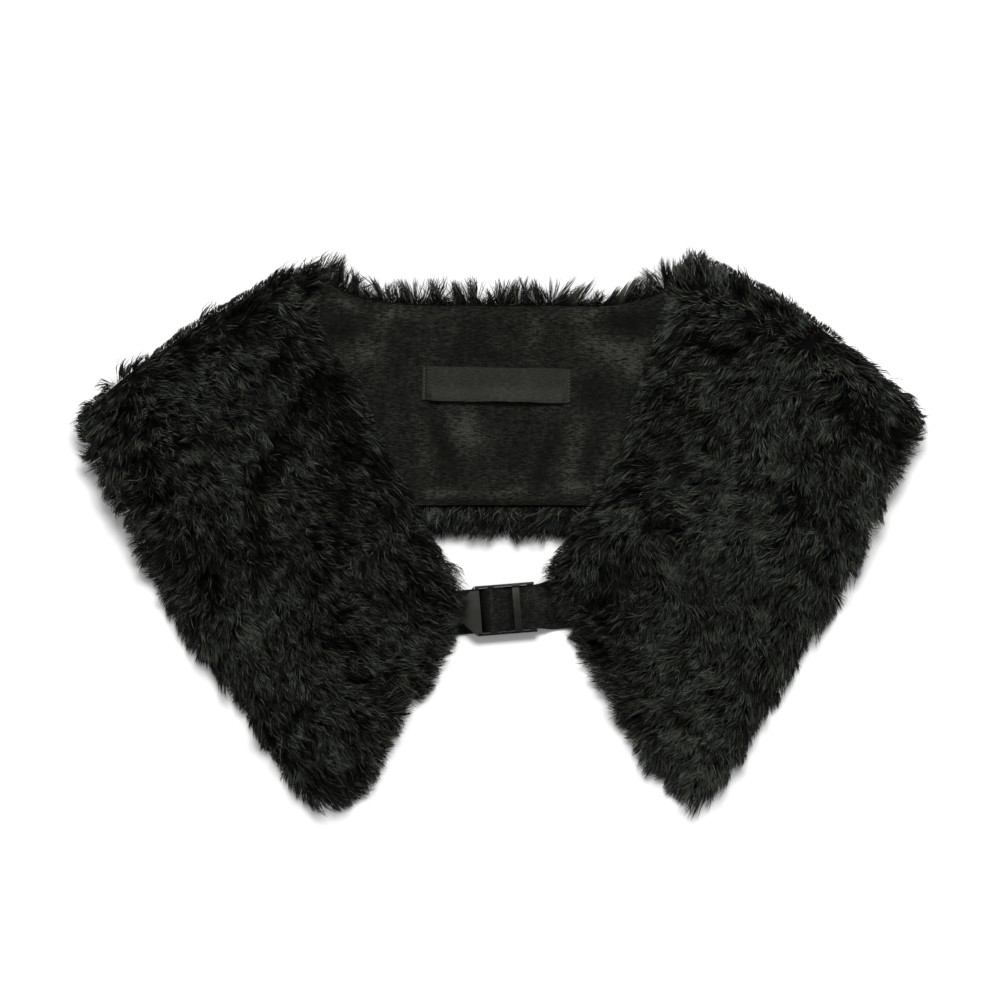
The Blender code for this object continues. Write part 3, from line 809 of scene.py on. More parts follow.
def lie(roots, flow, partings):
    """The pile's direction in plan, as angles, from the flow table and the partings, how deep
    each place lies in a parting, and how much the directions round it differ, up to one."""
    places = np.array([(row.x, row.y) for row in flow], float)
    ways = np.radians([row.degrees for row in flow])
    away = ((roots.at[:, None, :2] - places[None]) ** 2).sum(2)
    weight = 1 / (away + FLOW_BLUR) ** 2
    way = np.stack([weight @ np.cos(ways), weight @ np.sin(ways)], 1)
    whirl = 1 - np.linalg.norm(way, axis=1) / weight.sum(1)
    angle = np.arctan2(way[:, 1], way[:, 0])
    dip = np.zeros(len(angle))
    for line in partings:
        start = np.array((line.x0, line.y0), float)
        run = np.array((line.x1, line.y1), float) - start
        share = np.clip(((roots.at[:, :2] - start) @ run) / (run @ run), 0, 1)
        off = roots.at[:, :2] - start - share[:, None] * run
        far = np.linalg.norm(off, axis=1) / line.reach
        near = np.exp(-(far**2))
        aside = off / np.maximum(np.linalg.norm(off, axis=1), 0.3)[:, None]
        push = near * line.push / FULL_PUSH
        x = np.cos(angle) + aside[:, 0] * push
        y = np.sin(angle) + aside[:, 1] * push
        angle = np.arctan2(y, x)
        dip = np.maximum(dip, near)
    return angle, dip, whirl


def unit(vectors):
    """Vectors of length one."""
    return vectors / np.maximum(np.linalg.norm(vectors, axis=1), 1e-9)[:, None]


# How the pile varies. Sizes are in millimetres, turns in radians and tones in stops.
# The drifts that turn the locks aside, each with its size and its turn
STRAY_DRIFTS = ((26, 0.26), (10, 0.4), (4.5, 0.42))
# A guard hair is longer, thinner, steeper and lighter than the rest
GUARD_SHARE, GUARD_LENGTH, GUARD_WIDTH, GUARD_LIFT, GUARD_STOPS = 0.16, 1.12, 0.62, 1.15, 0.6
# The tone's spread between wisps, clumps and single locks, and over broad and small drifts
WISP_STOPS, CLUMP_STOPS, LOCK_STOPS, BROAD_STOPS, SMALL_STOPS = 1.1, 0.8, 1.9, 0.4, 0.5
# How much darker a parting is, as painted shade, and the tone of a lock with no stops
DIP_STOPS, MIDDLE_TONE = 1.2, 0.18
# How deep below the skin a lock starts
ROOT_DEPTH = 0.4
# How far along a lock its points lie
LOCK_SHARES = (0.0, 0.34, 0.70, 1.0)
HAIR_SHARES = (0.0, 0.52, 1.0)


# At an edge, the sizes of the wisps and tufts that end together, the tufts' spread of ends,
# how far past the outline any may end, and how far in from the edge locks are lengthened
EDGE_WISP, EDGE_TUFT, TUFT_ENDS, MOST_PAST, LENGTHENED, FADE = 3.0, 8.0, (-3.2, 3.4), 4.5, 13, 4


class Style(NamedTuple):
    """How one stretch of pile is laid: lengths in millimetres and the lift in radians."""

    length: float
    width: float
    lift: float
    wisp_gap: float
    clump_gap: float
    wisp_pull: float
    clump_pull: float
    curl: float
    unevenness: float
    stray: float
    fold_push: float
    shares: tuple
    seed: int


def lock_paths(roots, angle, dip, whirl, glow, style):
    """Four points along every lock, its width and its tone."""
    chance = np.random.default_rng(style.seed)
    count = len(roots.at)
    wisp = cells(roots.at + chance.normal(0, 0.25, (count, 3)), style.wisp_gap, style.seed + 1)
    clump = cells(roots.at, style.clump_gap, style.seed + 2)
    stray = by_group(clump, chance, -0.2, 0.2) + by_group(wisp, chance, -0.26, 0.26)
    stray += chance.normal(0, 0.16, count)
    for size, turn in STRAY_DRIFTS:
        stray += turn * drift(roots.at, size, style.seed + int(size))
    angle = angle + style.stray * stray * (1 + 2.5 * whirl)
    flat = np.stack([np.cos(angle), np.sin(angle), np.zeros(count)], 1)
    steep = 1 - np.abs(roots.normal[:, 2])
    lean = (flat * roots.normal).sum(1) * (1 - steep) ** 0.5
    along = unit(flat - roots.normal * lean[:, None])
    side_out = np.column_stack([roots.out, np.zeros(count)])
    edge = np.clip(1 - roots.inside / 8, 0, 1)
    folded = np.where(roots.out[:, 1] > 0.4, style.fold_push, 1.0)
    push = (0.42 * steep + 0.15 * edge) * folded
    along = unit(along * (1 - 0.25 * steep)[:, None] + side_out * push[:, None])
    guard = chance.random(count) < GUARD_SHARE
    lift = style.lift * (1 + 0.34 * drift(roots.at, 17, style.seed + 5))
    lift = lift * (1 + 0.2 * drift(roots.at, 7, style.seed + 6)) * (1 + 0.9 * whirl)
    lift = lift * by_group(clump, chance, 0.84, 1.16) * by_group(wisp, chance, 0.84, 1.16)
    lift = np.clip(lift * (1 - 0.4 * dip) * np.where(guard, GUARD_LIFT, 1.0), 0.15, 1.3)
    length = style.length * chance.normal(1, 0.08, count) * by_group(wisp, chance, 0.88, 1.12)
    uneven = style.unevenness
    length = length * by_group(clump, chance, 1 - uneven, 1 + 0.6 * uneven) * (1 - 0.12 * dip)
    length = length * np.where(guard, GUARD_LENGTH, 1.0)
    out_lift = roots.normal * np.sin(lift)[:, None]
    out_lie = along * np.cos(lift)[:, None]
    places = []
    for share in style.shares:
        rise = 0.66 * (1 - (1 - share) ** 2.2)
        way = out_lift * rise + out_lie * share + along * 0.16 * share**2
        places.append(roots.at + length[:, None] * way)
    paths = np.stack(places, 1)
    to_wisp = group_mean(paths[:, 3], wisp) - paths[:, 3]
    to_clump = group_mean(paths[:, 3], clump) - paths[:, 3]
    pull = style.wisp_pull * to_wisp + style.clump_pull * to_clump
    reach = np.linalg.norm(pull, axis=1)
    pull = pull * np.minimum(1, 0.45 * length / np.maximum(reach, 1e-6))[:, None]
    side = unit(np.cross(along, roots.normal))
    phase = by_group(wisp, chance, 0, TAU) + chance.normal(0, 0.8, count)
    sway = style.curl * by_group(wisp, chance, 0.3, 1.4)
    for k, share in enumerate(style.shares):
        paths[:, k] += pull * share**1.4
        wave = np.sin(phase + 4.6 * share) - np.sin(phase)
        paths[:, k] += side * (sway * wave * share**0.5)[:, None]
    paths[:, 0] -= roots.normal * ROOT_DEPTH
    width = style.width * chance.uniform(0.75, 1.25, count) * np.where(guard, GUARD_WIDTH, 1.0)
    stops = WISP_STOPS * by_group(wisp, chance, -1, 1) + LOCK_STOPS * chance.normal(0, 1, count)
    broad = BROAD_STOPS * drift(roots.at, 18, style.seed + 8)
    stops += broad + CLUMP_STOPS * by_group(clump, chance, -1, 1)
    stops += SMALL_STOPS * drift(roots.at, 8, style.seed + 9)
    # A parting is darker by painted shade
    stops += glow + np.where(guard, GUARD_STOPS, 0.0) - DIP_STOPS * dip
    return paths, width, np.clip(MIDDLE_TONE * 2**stops, 0, 1)


def glow_at(points, glows):
    """How many stops lighter or darker the glows' painted light and shade make each place."""
    stops = np.zeros(len(points))
    for glow in glows:
        along, across = turned(points, glow)
        far = np.hypot(along / (GLOW_REACH * glow.length), across / (GLOW_REACH * glow.width))
        stops += glow.stops * ease(1 - far)
    return stops


def reach_at(points, reaches):
    """How far past the outline the reaches take the fur near each point."""
    more = np.zeros(len(points))
    for reach in reaches:
        far = np.linalg.norm(points[:, :2] - (reach.x, reach.y), axis=1)
        more += reach.more * np.exp(-((far / reach.spread) ** 2))
    return more


def fit(paths, edge, reaches, chance, low=-1.6, high=1.8):
    """Shortens or lengthens the locks at an edge so that their tips end near the fur's outline,
    or past it by what the reaches say. A wisp stops between low and high short of it."""
    rim, out = edge
    root, _ = nearest_edge(paths[:, 0], rim, out)
    tip, _ = nearest_edge(paths[:, 3], rim, out)
    wisp = cells(paths[:, 0], EDGE_WISP, 77)
    tuft = cells(paths[:, 0], EDGE_TUFT, 78)
    spare = by_group(wisp, chance, low, high) + by_group(tuft, chance, *TUFT_ENDS)
    spare += chance.normal(0, 0.5, len(paths)) + 0.9 * drift(paths[:, 0], 19, 79)
    more = reach_at(paths[:, 3], reaches)
    spare = np.maximum(spare, -MOST_PAST) - more
    gained = np.maximum(root - tip, 0.5)
    longest = 1.4 + np.clip(more, 0, 9) / 14
    share = np.clip((root - spare) / gained, 0.3, longest)
    outward = root - tip > 0.4 * np.linalg.norm(paths[:, 3] - paths[:, 0], axis=1)
    near = np.clip(1 - (root - LENGTHENED) / FADE, 0, 1)
    longer = np.where(outward, 1 + (share - 1) * near, 1.0)
    share = np.where(tip < spare, np.minimum(share, 1.0), np.maximum(longer, 1.0))
    paths[:, 1:] = paths[:, :1] + (paths[:, 1:] - paths[:, :1]) * share[:, None, None]


def settle(paths, floor, gap=0.25):
    """Keeps the locks over what lies beneath them."""
    for k in (1, 2, 3):
        under = heights(floor, paths[:, k], 0.0)
        paths[:, k, 2] = np.maximum(paths[:, k, 2], under + gap)


def lock_mesh(name, paths, width, tone, material, shares, base=0.0):
    """All the locks as one mesh. Each is a closed three-sided spindle that ends in a point,
    with a ring of three corners at every point of its path but the first and last. The base is
    how far along a lock its colour starts."""
    count, rings = len(paths), paths.shape[1] - 2
    before, after = np.roll(paths, 1, 1), np.roll(paths, -1, 1)
    before[:, 0], after[:, -1] = paths[:, 0], paths[:, -1]
    way = after - before
    way /= np.maximum(np.linalg.norm(way, axis=2), 1e-9)[:, :, None]
    side = np.cross(way, (0.0, 0.0, 1.0))
    size = np.linalg.norm(side, axis=2)
    side /= np.maximum(size, 1e-9)[:, :, None]
    side = np.where((size < 0.05)[:, :, None], (1.0, 0.0, 0.0), side)
    over = np.cross(side, way)
    each = 3 * rings + 2
    vertices = np.zeros((count, each, 3))
    vertices[:, 0], vertices[:, -1] = paths[:, 0], paths[:, -1]
    for k in range(1, rings + 1):
        half = (width * (1.0 if k == 1 else 0.78) / 2)[:, None]
        vertices[:, 3 * k - 2] = paths[:, k] + side[:, k] * half
        vertices[:, 3 * k - 1] = paths[:, k] + over[:, k] * half * 0.7
        vertices[:, 3 * k] = paths[:, k] - side[:, k] * half
    end, last = each - 1, each - 4
    faces = [(0, 2, 1), (0, 3, 2), (0, 1, 3)]
    faces += [(end, last, last + 1), (end, last + 1, last + 2), (end, last + 2, last)]
    for ring in range(1, last, 3):
        for i, j in ((ring, ring + 1), (ring + 1, ring + 2), (ring + 2, ring)):
            faces.append((i, j, j + 3, i + 3))
    pattern = np.array([i for face in faces for i in face])
    starts = np.cumsum([0] + [len(face) for face in faces])
    loops = (pattern[None] + each * np.arange(count)[:, None]).ravel()
    first = (starts[:-1][None] + len(pattern) * np.arange(count)[:, None]).ravel()
    mesh = bpy.data.meshes.new(name)
    mesh.vertices.add(count * each)
    mesh.vertices.foreach_set("co", (vertices * MM).ravel())
    mesh.loops.add(len(loops))
    mesh.loops.foreach_set("vertex_index", loops)
    mesh.polygons.add(len(first))
    mesh.polygons.foreach_set("loop_start", first)
    mesh.update(calc_edges=True)
    mesh.validate()
    mesh.shade_smooth()
    along = np.repeat(base + (1 - base) * np.array(shares), [1] + [3] * rings + [1])
    for key, values in (("along", np.tile(along, count)), ("tone", np.repeat(tone, each))):
        mesh.attributes.new(key, "FLOAT", "POINT").data.foreach_set("value", values)
    mesh.materials.append(material)
    made = bpy.data.objects.new(name, mesh)
    bpy.context.scene.collection.objects.link(made)
    return made


def simpler(paths):
    """Three points along every hair in place of four."""
    middle = (9 * (paths[:, 1] + paths[:, 2]) - paths[:, 0] - paths[:, 3]) / 16
    return np.stack([paths[:, 0], middle, paths[:, 3]], 1)


def style_from(fur, **changes):
    """The settings' lengths, in millimetres, as the style of one stretch of pile."""
    style = Style(
        fur.pile_length / MM,
        fur.lock_width / MM,
        fur.lift,
        fur.wisp_gap / MM,
        fur.clump_gap / MM,
        fur.wisp_pull,
        fur.clump_pull,
        fur.curl / MM,
        unevenness=0.12,
        stray=1.0,
        fold_push=0.7,
        shares=LOCK_SHARES,
        seed=fur.seed * 100,
    )
    return style._replace(**changes)


def make_skin(node, name, grow):
    """The fur's own cloth as an open sheet: a lining's outline, larger by a distance that may
    depend on the place and the way out. Gives the sheet and its edge before and after."""
    sheet = sheet_from(node, name, 1, 1)
    rim, out, index = rim_of(sheet)
    points = points_of(sheet.data)
    points[index, :2] += out * grow(rim, out)[:, None]
    set_points(sheet.data, points)
    grown, grown_out, _ = rim_of(sheet)
    return sheet, spaced(rim, out, OUTLINE_STEP), spaced(grown, grown_out, OUTLINE_STEP)


def reach_of(node):
    """The plan outline of a CAD fur solid, which its tips come to."""
    sheet = sheet_from(node, "reach", -1, 1)
    rim, out, _ = rim_of(sheet)
    bpy.data.objects.remove(sheet)
    return spaced(rim, out, OUTLINE_STEP)


def thicken(sheet, low, high):
    """Gives an open sheet its two sides, each with its own height at every point."""
    count = len(sheet.data.vertices)
    points = points_of(sheet.data)
    with editing(sheet):
        bpy.ops.mesh.extrude_region_move(TRANSFORM_OT_translate={"value": (0, 0, MM)})
    made = points_of(sheet.data)
    order = KDTree(count)
    for i, (x, y, _) in enumerate(points):
        order.insert((x, y, 0), i)
    order.balance()
    for i, (x, y, z) in enumerate(made):
        k = order.find((x, y, 0))[1]
        upper = z > points[k, 2] + 0.5
        made[i] = (points[k, 0], points[k, 1], high[k] if upper else low[k])
    set_points(sheet.data, made)
    with editing(sheet):
        bpy.ops.mesh.normals_make_consistent(inside=False)


# Materials


PILE = "black mohair pile"
# The skin's material, coloured as the pile's painted depth shade
PILE_SHADE_SKIN = "skin in painted pile shade"
# Light from the cloth is a little green, as its dye is
CLOTH_TINT = (0.95, 1.0, 0.86, 1.0)
FUR_TINT = (0.92, 1.0, 0.84, 1.0)
# Along the buckle, in metres: its middle line, the inner and outer edges of its rails, which are
# darkened by painted shade, and where the painted highlight along the upper rail's outer edge
# begins
BUCKLE_MIDDLE = -0.0440
RAIL_EDGES = (0.0118, 0.0130)
UPPER_RAIL = (-0.0306, -0.0302)
# Stretches along the strap where the plastic is darker, from dark to light, and how dark each
# starts: painted shade towards the plate's hidden end, and darker over the bar and beyond it
DARKER_STRETCHES = ((-0.0290, -0.0185, 0.3), (0.0060, -0.0040, 0.55))
# Bands across the strap: middles and spreads in metres, and by how much each is lighter or darker.
# A painted highlight on the crest over the buckle, painted shadow beside the plate and near the
# bar, and the strap lighter further along
LIGHT_AND_SHADE_BANDS = (
    (-0.0094, 0.0010, 0.5),
    (-0.0136, 0.0024, -0.5),
    (0.0012, 0.0016, -0.4),
    (0.0200, 0.0085, 0.4),
)
# The way the strap and the buckle lie, in degrees
STRAP_TURN = 4.6


def add(tree, kind, **inputs):
    """A shader node, with these properties and input values."""
    made = tree.nodes.new("ShaderNode" + kind)
    for key, value in inputs.items():
        if hasattr(made, key):
            setattr(made, key, value)
        else:
            made.inputs[key.replace("_", " ")].default_value = value
    return made


def feed(tree, made, index, value):
    """Gives a node's input a value, or the link that it comes from."""
    if isinstance(value, bpy.types.NodeSocket):
        tree.links.new(value, made.inputs[index])
    else:
        made.inputs[index].default_value = value


def mix(tree, share, first, second):
    """A colour mix of two colours."""
    made = tree.nodes.new("ShaderNodeMix")
    made.data_type = "RGBA"
    for index, value in ((0, share), (6, (*first, 1.0)), (7, (*second, 1.0))):
        feed(tree, made, index, value)
    return made.outputs[2]


def sums(tree, operation, *values):
    """One step of a sum, on numbers or sockets."""
    made = tree.nodes.new("ShaderNodeMath")
    made.operation = operation
    for index, value in enumerate(values):
        feed(tree, made, index, value)
    return made.outputs[0]


def product(tree, *values):
    """All of these multiplied."""
    total = values[0]
    for value in values[1:]:
        total = sums(tree, "MULTIPLY", total, value)
    return total


def noise(tree, vector, **inputs):
    made = add(tree, "TexNoise", **inputs)
    tree.links.new(vector, made.inputs["Vector"])
    return made.outputs["Fac"]


def stretched(tree, vector, scale):
    made = add(tree, "Mapping")
    made.inputs["Scale"].default_value = scale
    tree.links.new(vector, made.inputs["Vector"])
    return made.outputs[0]


def split(tree, vector):
    """A vector's X, Y and Z."""
    made = add(tree, "SeparateXYZ")
    tree.links.new(vector, made.inputs[0])
    return made.outputs[0], made.outputs[1], made.outputs[2]


def ramp(tree, value, low=0.0, high=1.0, least=0.0):
    """A smooth step, from least where the value is low to one where it is high."""
    made = add(tree, "MapRange", interpolation_type="SMOOTHSTEP")
    for key, number in (("From Min", low), ("From Max", high), ("To Min", least)):
        made.inputs[key].default_value = number
    tree.links.new(value, made.inputs["Value"])
    return made.outputs["Result"]


def crest(tree, value, middle, spread):
    """One where the value is at the middle, falling to nothing past the spread."""
    off = sums(tree, "DIVIDE", sums(tree, "SUBTRACT", value, middle), spread)
    return sums(tree, "EXPONENT", product(tree, sums(tree, "POWER", off, 2.0), -1.0))


def new_group(name, inputs, outputs):
    tree = bpy.data.node_groups.new(name, "ShaderNodeTree")
    for key, value in inputs.items():
        kind = "NodeSocketVector" if value is None else "NodeSocketFloat"
        socket = tree.interface.new_socket(name=key, in_out="INPUT", socket_type=kind)
        if value is not None:
            socket.default_value = value
    for key in outputs:
        tree.interface.new_socket(name=key, in_out="OUTPUT", socket_type="NodeSocketFloat")
    return tree, tree.nodes.new("NodeGroupInput"), tree.nodes.new("NodeGroupOutput")


def woven_group():
    """Threads over and under each other, uneven in thickness: their height and their tone."""
    inputs = {"Vector": None, "Across": 1400.0, "Along": 1400.0, "Slub": 0.5, "Contrast": 2.4}
    tree, start, end = new_group("woven threads", inputs, ("Height", "Tone"))
    place = start.outputs["Vector"]
    x, y, _ = split(tree, place)
    wander = noise(tree, place, Scale=60.0, Detail=2.0)
    bent = sums(tree, "MULTIPLY_ADD", wander, 0.0016, y)
    over, under = (
        sums(tree, "SINE", product(tree, axis, start.outputs[key], TAU))
        for axis, key in ((bent, "Across"), (x, "Along"))
    )
    ridges = sums(tree, "MULTIPLY_ADD", product(tree, over, under), 0.5, over)
    long = stretched(tree, place, (340.0, 1950.0, 200.0))
    slub = noise(tree, long, Scale=1.0, Detail=3.0, Roughness=0.6)
    tall = stretched(tree, place, (1300.0, 90.0, 200.0))
    warp = noise(tree, tall, Scale=1.0, Detail=2.0, Roughness=0.5)
    both = sums(tree, "MULTIPLY_ADD", warp, 0.16, slub)
    thick = sums(tree, "SUBTRACT", both, 0.58)
    rise = product(tree, thick, start.outputs["Slub"])
    tree.links.new(sums(tree, "MULTIPLY_ADD", ridges, 0.3, rise), end.inputs["Height"])
    tone = sums(tree, "MULTIPLY_ADD", thick, start.outputs["Contrast"], 0.5)
    tree.links.new(sums(tree, "MULTIPLY_ADD", ridges, 0.06, tone), end.inputs["Tone"])
    return tree


def mottle_group():
    """Broad, soft unevenness: painted sheen and shade on the lining, and uneven tone and roughness
    elsewhere.
    """
    inputs = {"Vector": None, "Size": 40.0, "Contrast": 1.0}
    tree, start, end = new_group("soft mottling", inputs, ("Mask",))
    patches = add(tree, "TexNoise", Detail=4.0, Roughness=0.55)
    tree.links.new(start.outputs["Vector"], patches.inputs["Vector"])
    tree.links.new(start.outputs["Size"], patches.inputs["Scale"])
    centred = sums(tree, "SUBTRACT", patches.outputs["Fac"], 0.5)
    mask = sums(tree, "MULTIPLY_ADD", centred, start.outputs["Contrast"], 0.5)
    mask = sums(tree, "MINIMUM", sums(tree, "MAXIMUM", mask, 0.0), 1.0)
    tree.links.new(mask, end.inputs["Mask"])
    return tree


def sheen_and_shade_group():
    """The soft places of painted sheen and shade on the back's lining: how many stops lighter or
    darker each is.
    """
    tree, start, end = new_group("painted sheen and shade", {"Vector": None}, ("Stops",))
    total = 0.0
    for glow in LINING_GLOWS:
        turn = add(tree, "Mapping", vector_type="TEXTURE")
        turn.inputs["Location"].default_value = (glow.x * MM, glow.y * MM, 0)
        turn.inputs["Rotation"].default_value = (0, 0, math.radians(glow.degrees))
        size = (GLOW_REACH * glow.length * MM, GLOW_REACH * glow.width * MM, 1)
        turn.inputs["Scale"].default_value = size
        tree.links.new(start.outputs["Vector"], turn.inputs["Vector"])
        ball = add(tree, "TexGradient", gradient_type="SPHERICAL")
        tree.links.new(turn.outputs[0], ball.inputs["Vector"])
        soft = ramp(tree, ball.outputs["Fac"])
        total = sums(tree, "MULTIPLY_ADD", soft, 1.6 * glow.stops, total)
    tree.links.new(total, end.inputs["Stops"])
    return tree


MAKERS = {
    "woven threads": woven_group,
    "soft mottling": mottle_group,
    "painted sheen and shade": sheen_and_shade_group,
}


def place_group(tree, name, vector, **values):
    """Uses a shared node group, and makes it first where there is none yet."""
    made = tree.nodes.new("ShaderNodeGroup")
    made.node_tree = bpy.data.node_groups.get(name) or MAKERS[name]()
    tree.links.new(vector, made.inputs["Vector"])
    for key, value in values.items():
        made.inputs[key].default_value = value
    return made.outputs


def mottle(tree, place, size, contrast):
    return place_group(tree, "soft mottling", place, Size=size, Contrast=contrast)["Mask"]


def mottled(tree, value, mask, least):
    """A value made lighter and darker by a mask, which counts from least to least + 1."""
    return product(tree, value, sums(tree, "ADD", mask, least))


def shade(colour, share):
    return [share * part for part in colour]


def new_material(name, roughness, specular, tint=None):
    made = bpy.data.materials.new(name)
    made.use_nodes = True
    shader = made.node_tree.nodes["Principled BSDF"]
    shader.inputs["Roughness"].default_value = roughness
    shader.inputs["Specular IOR Level"].default_value = specular
    if tint:
        shader.inputs["Specular Tint"].default_value = tint
    return made, made.node_tree, shader


def paint(tree, shader, share, dark, light):
    """Colours a shader between two colours."""
    tree.links.new(mix(tree, share, dark, light), shader.inputs["Base Color"])


def bump(tree, shader, height, distance, strength=1.0):
    made = add(tree, "Bump", Strength=strength, Distance=distance)
    tree.links.new(height, made.inputs["Height"])
    tree.links.new(made.outputs[0], shader.inputs["Normal"])


def object_place(tree, degrees=0.0):
    """Object coordinates, turned to lie along a piece."""
    place = add(tree, "TexCoord")
    turn = add(tree, "Mapping", vector_type="TEXTURE")
    turn.inputs["Rotation"].default_value = (0, 0, math.radians(degrees))
    tree.links.new(place.outputs["Object"], turn.inputs["Vector"])
    return turn.outputs[0]


def fur_material(fur):
    """Locks that are dark at the root and lighter towards the tip, as painted shade of the pile's
    depth, each with its own tone.
    """
    if PILE in bpy.data.materials:
        return bpy.data.materials[PILE]
    made, tree, shader = new_material(PILE, 0.42, 0.03, FUR_TINT)
    along, tone = (
        add(tree, "Attribute", attribute_name=name).outputs["Fac"] for name in ("along", "tone")
    )
    place = object_place(tree)
    # Painted shade of the pile's depth: each lock darker towards its root
    depth = sums(tree, "POWER", along, 1.6)
    light = product(tree, depth, sums(tree, "MULTIPLY_ADD", tone, 1.2, 0.02))
    light = mottled(tree, light, mottle(tree, place, 70.0, 1.6), 0.5)
    light = sums(tree, "MINIMUM", light, 1.0)
    paint(tree, shader, light, fur.root_shade_colour, fur.tip_colour)
    fibres = noise(tree, place, Scale=2600.0, Detail=1.0)
    rough = sums(tree, "MULTIPLY_ADD", fibres, 0.16, 0.28)
    rough = sums(tree, "SUBTRACT", rough, product(tree, light, 0.06))
    tree.links.new(rough, shader.inputs["Roughness"])
    bump(tree, shader, fibres, 0.0002, 0.35)
    return made


def backing_material(fur):
    """The skin under the locks, in the painted shade of the pile's depth."""
    if PILE_SHADE_SKIN in bpy.data.materials:
        return bpy.data.materials[PILE_SHADE_SKIN]
    made, tree, shader = new_material(PILE_SHADE_SKIN, 0.9, 0.1)
    tufts = noise(tree, object_place(tree), Scale=700.0, Detail=4.0, Roughness=0.7)
    paint(tree, shader, tufts, shade(fur.root_shade_colour, 0.5), fur.root_shade_colour)
    bump(tree, shader, tufts, 0.0012)
    return made


def lining_material(cloth, name, glows):
    """The lining's cloth, with broad painted sheen and shade. Where glows is true, it also has the
    back's own places of painted sheen and shade.
    """
    made, tree, shader = new_material(name, 0.6, 0.015, CLOTH_TINT)
    place = object_place(tree)
    threads = {"Across": 2900.0, "Along": 3100.0, "Slub": 1.2, "Contrast": 4.0}
    weave = place_group(tree, "woven threads", place, **threads)
    # Broad painted sheen and shade over the lining
    stops = sums(tree, "MULTIPLY_ADD", mottle(tree, place, 45.0, 1.6), 2.0, -1.0)
    if glows:
        stops = sums(tree, "ADD", stops, place_group(tree, "painted sheen and shade", place)["Stops"])
    sheen_and_shade = product(tree, sums(tree, "POWER", 2.0, stops), 0.38)
    fine = mottled(tree, weave["Tone"], mottle(tree, place, 260.0, 1.8), 0.5)
    light = sums(tree, "MINIMUM", product(tree, fine, sheen_and_shade), 1.0)
    paint(tree, shader, light, cloth.lining_colour, cloth.slub_and_sheen_colour)
    rough = sums(tree, "MULTIPLY_ADD", light, -0.14, 0.62)
    tree.links.new(rough, shader.inputs["Roughness"])
    bump(tree, shader, weave["Height"], 0.00016, 0.8)
    return made


def label_material(cloth):
    """Ribbed satin, with painted shade along the seam at each end."""
    made, tree, shader = new_material("satin label ribbon", 0.45, 0.05, CLOTH_TINT)
    place = object_place(tree, math.degrees(LABEL_TURN))
    weave = place_group(tree, "woven threads", place, Across=2100.0, Along=1200.0, Slub=0.5)
    x, _, _ = split(tree, place)
    middle = sums(tree, "ABSOLUTE", sums(tree, "SUBTRACT", x, LABEL_MIDDLE * MM))
    seam_shade = crest(tree, middle, *LABEL_SEAM_SHADE)
    tone = mottled(tree, weave["Tone"], mottle(tree, place, 60.0, 1.2), 0.5)
    tone = product(tree, tone, sums(tree, "MULTIPLY_ADD", seam_shade, -0.8, 1.0))
    paint(tree, shader, tone, shade(cloth.label_colour, 0.2), cloth.label_colour)
    rough = sums(tree, "MULTIPLY_ADD", weave["Tone"], 0.16, 0.38)
    tree.links.new(rough, shader.inputs["Roughness"])
    bump(tree, shader, weave["Height"], 0.00010, 0.7)
    return made


def webbing_material(cloth):
    """Close webbing, with bands of painted highlight and shadow where it goes round the buckle's
    bars.
    """
    made, tree, shader = new_material("black strap webbing", 0.6, 0.02, CLOTH_TINT)
    place = object_place(tree, STRAP_TURN)
    threads = {"Across": 2500.0, "Along": 2300.0, "Slub": 0.7, "Contrast": 3.0}
    weave = place_group(tree, "woven threads", place, **threads)
    patches = mottle(tree, place, 150.0, 3.0)
    tone = mottled(tree, weave["Tone"], patches, 0.2)
    tone = mottled(tree, tone, mottle(tree, place, 1000.0, 4.5), 0.3)
    x, _, _ = split(tree, place)
    # Painted highlight and shadow in bands across the strap
    for middle, spread, more in LIGHT_AND_SHADE_BANDS:
        band = sums(tree, "MULTIPLY_ADD", crest(tree, x, middle, spread), 1.6 * more, 1.0)
        tone = product(tree, tone, band)
    tone = sums(tree, "MINIMUM", sums(tree, "MAXIMUM", tone, 0.0), 1.0)
    paint(tree, shader, tone, cloth.webbing_colour, shade(cloth.webbing_colour, 7.6))
    rough = sums(tree, "MULTIPLY_ADD", patches, 0.12, 0.52)
    tree.links.new(rough, shader.inputs["Roughness"])
    bump(tree, shader, weave["Height"], 0.00014, 0.8)
    return made


def thread_material(cloth):
    made, tree, shader = new_material("grey sewing thread", 0.6, 0.1)
    twist = noise(tree, object_place(tree), Scale=3000.0, Detail=2.0)
    paint(tree, shader, twist, shade(cloth.label_colour, 1.1), shade(cloth.label_colour, 2.6))
    bump(tree, shader, twist, 0.0001)
    return made


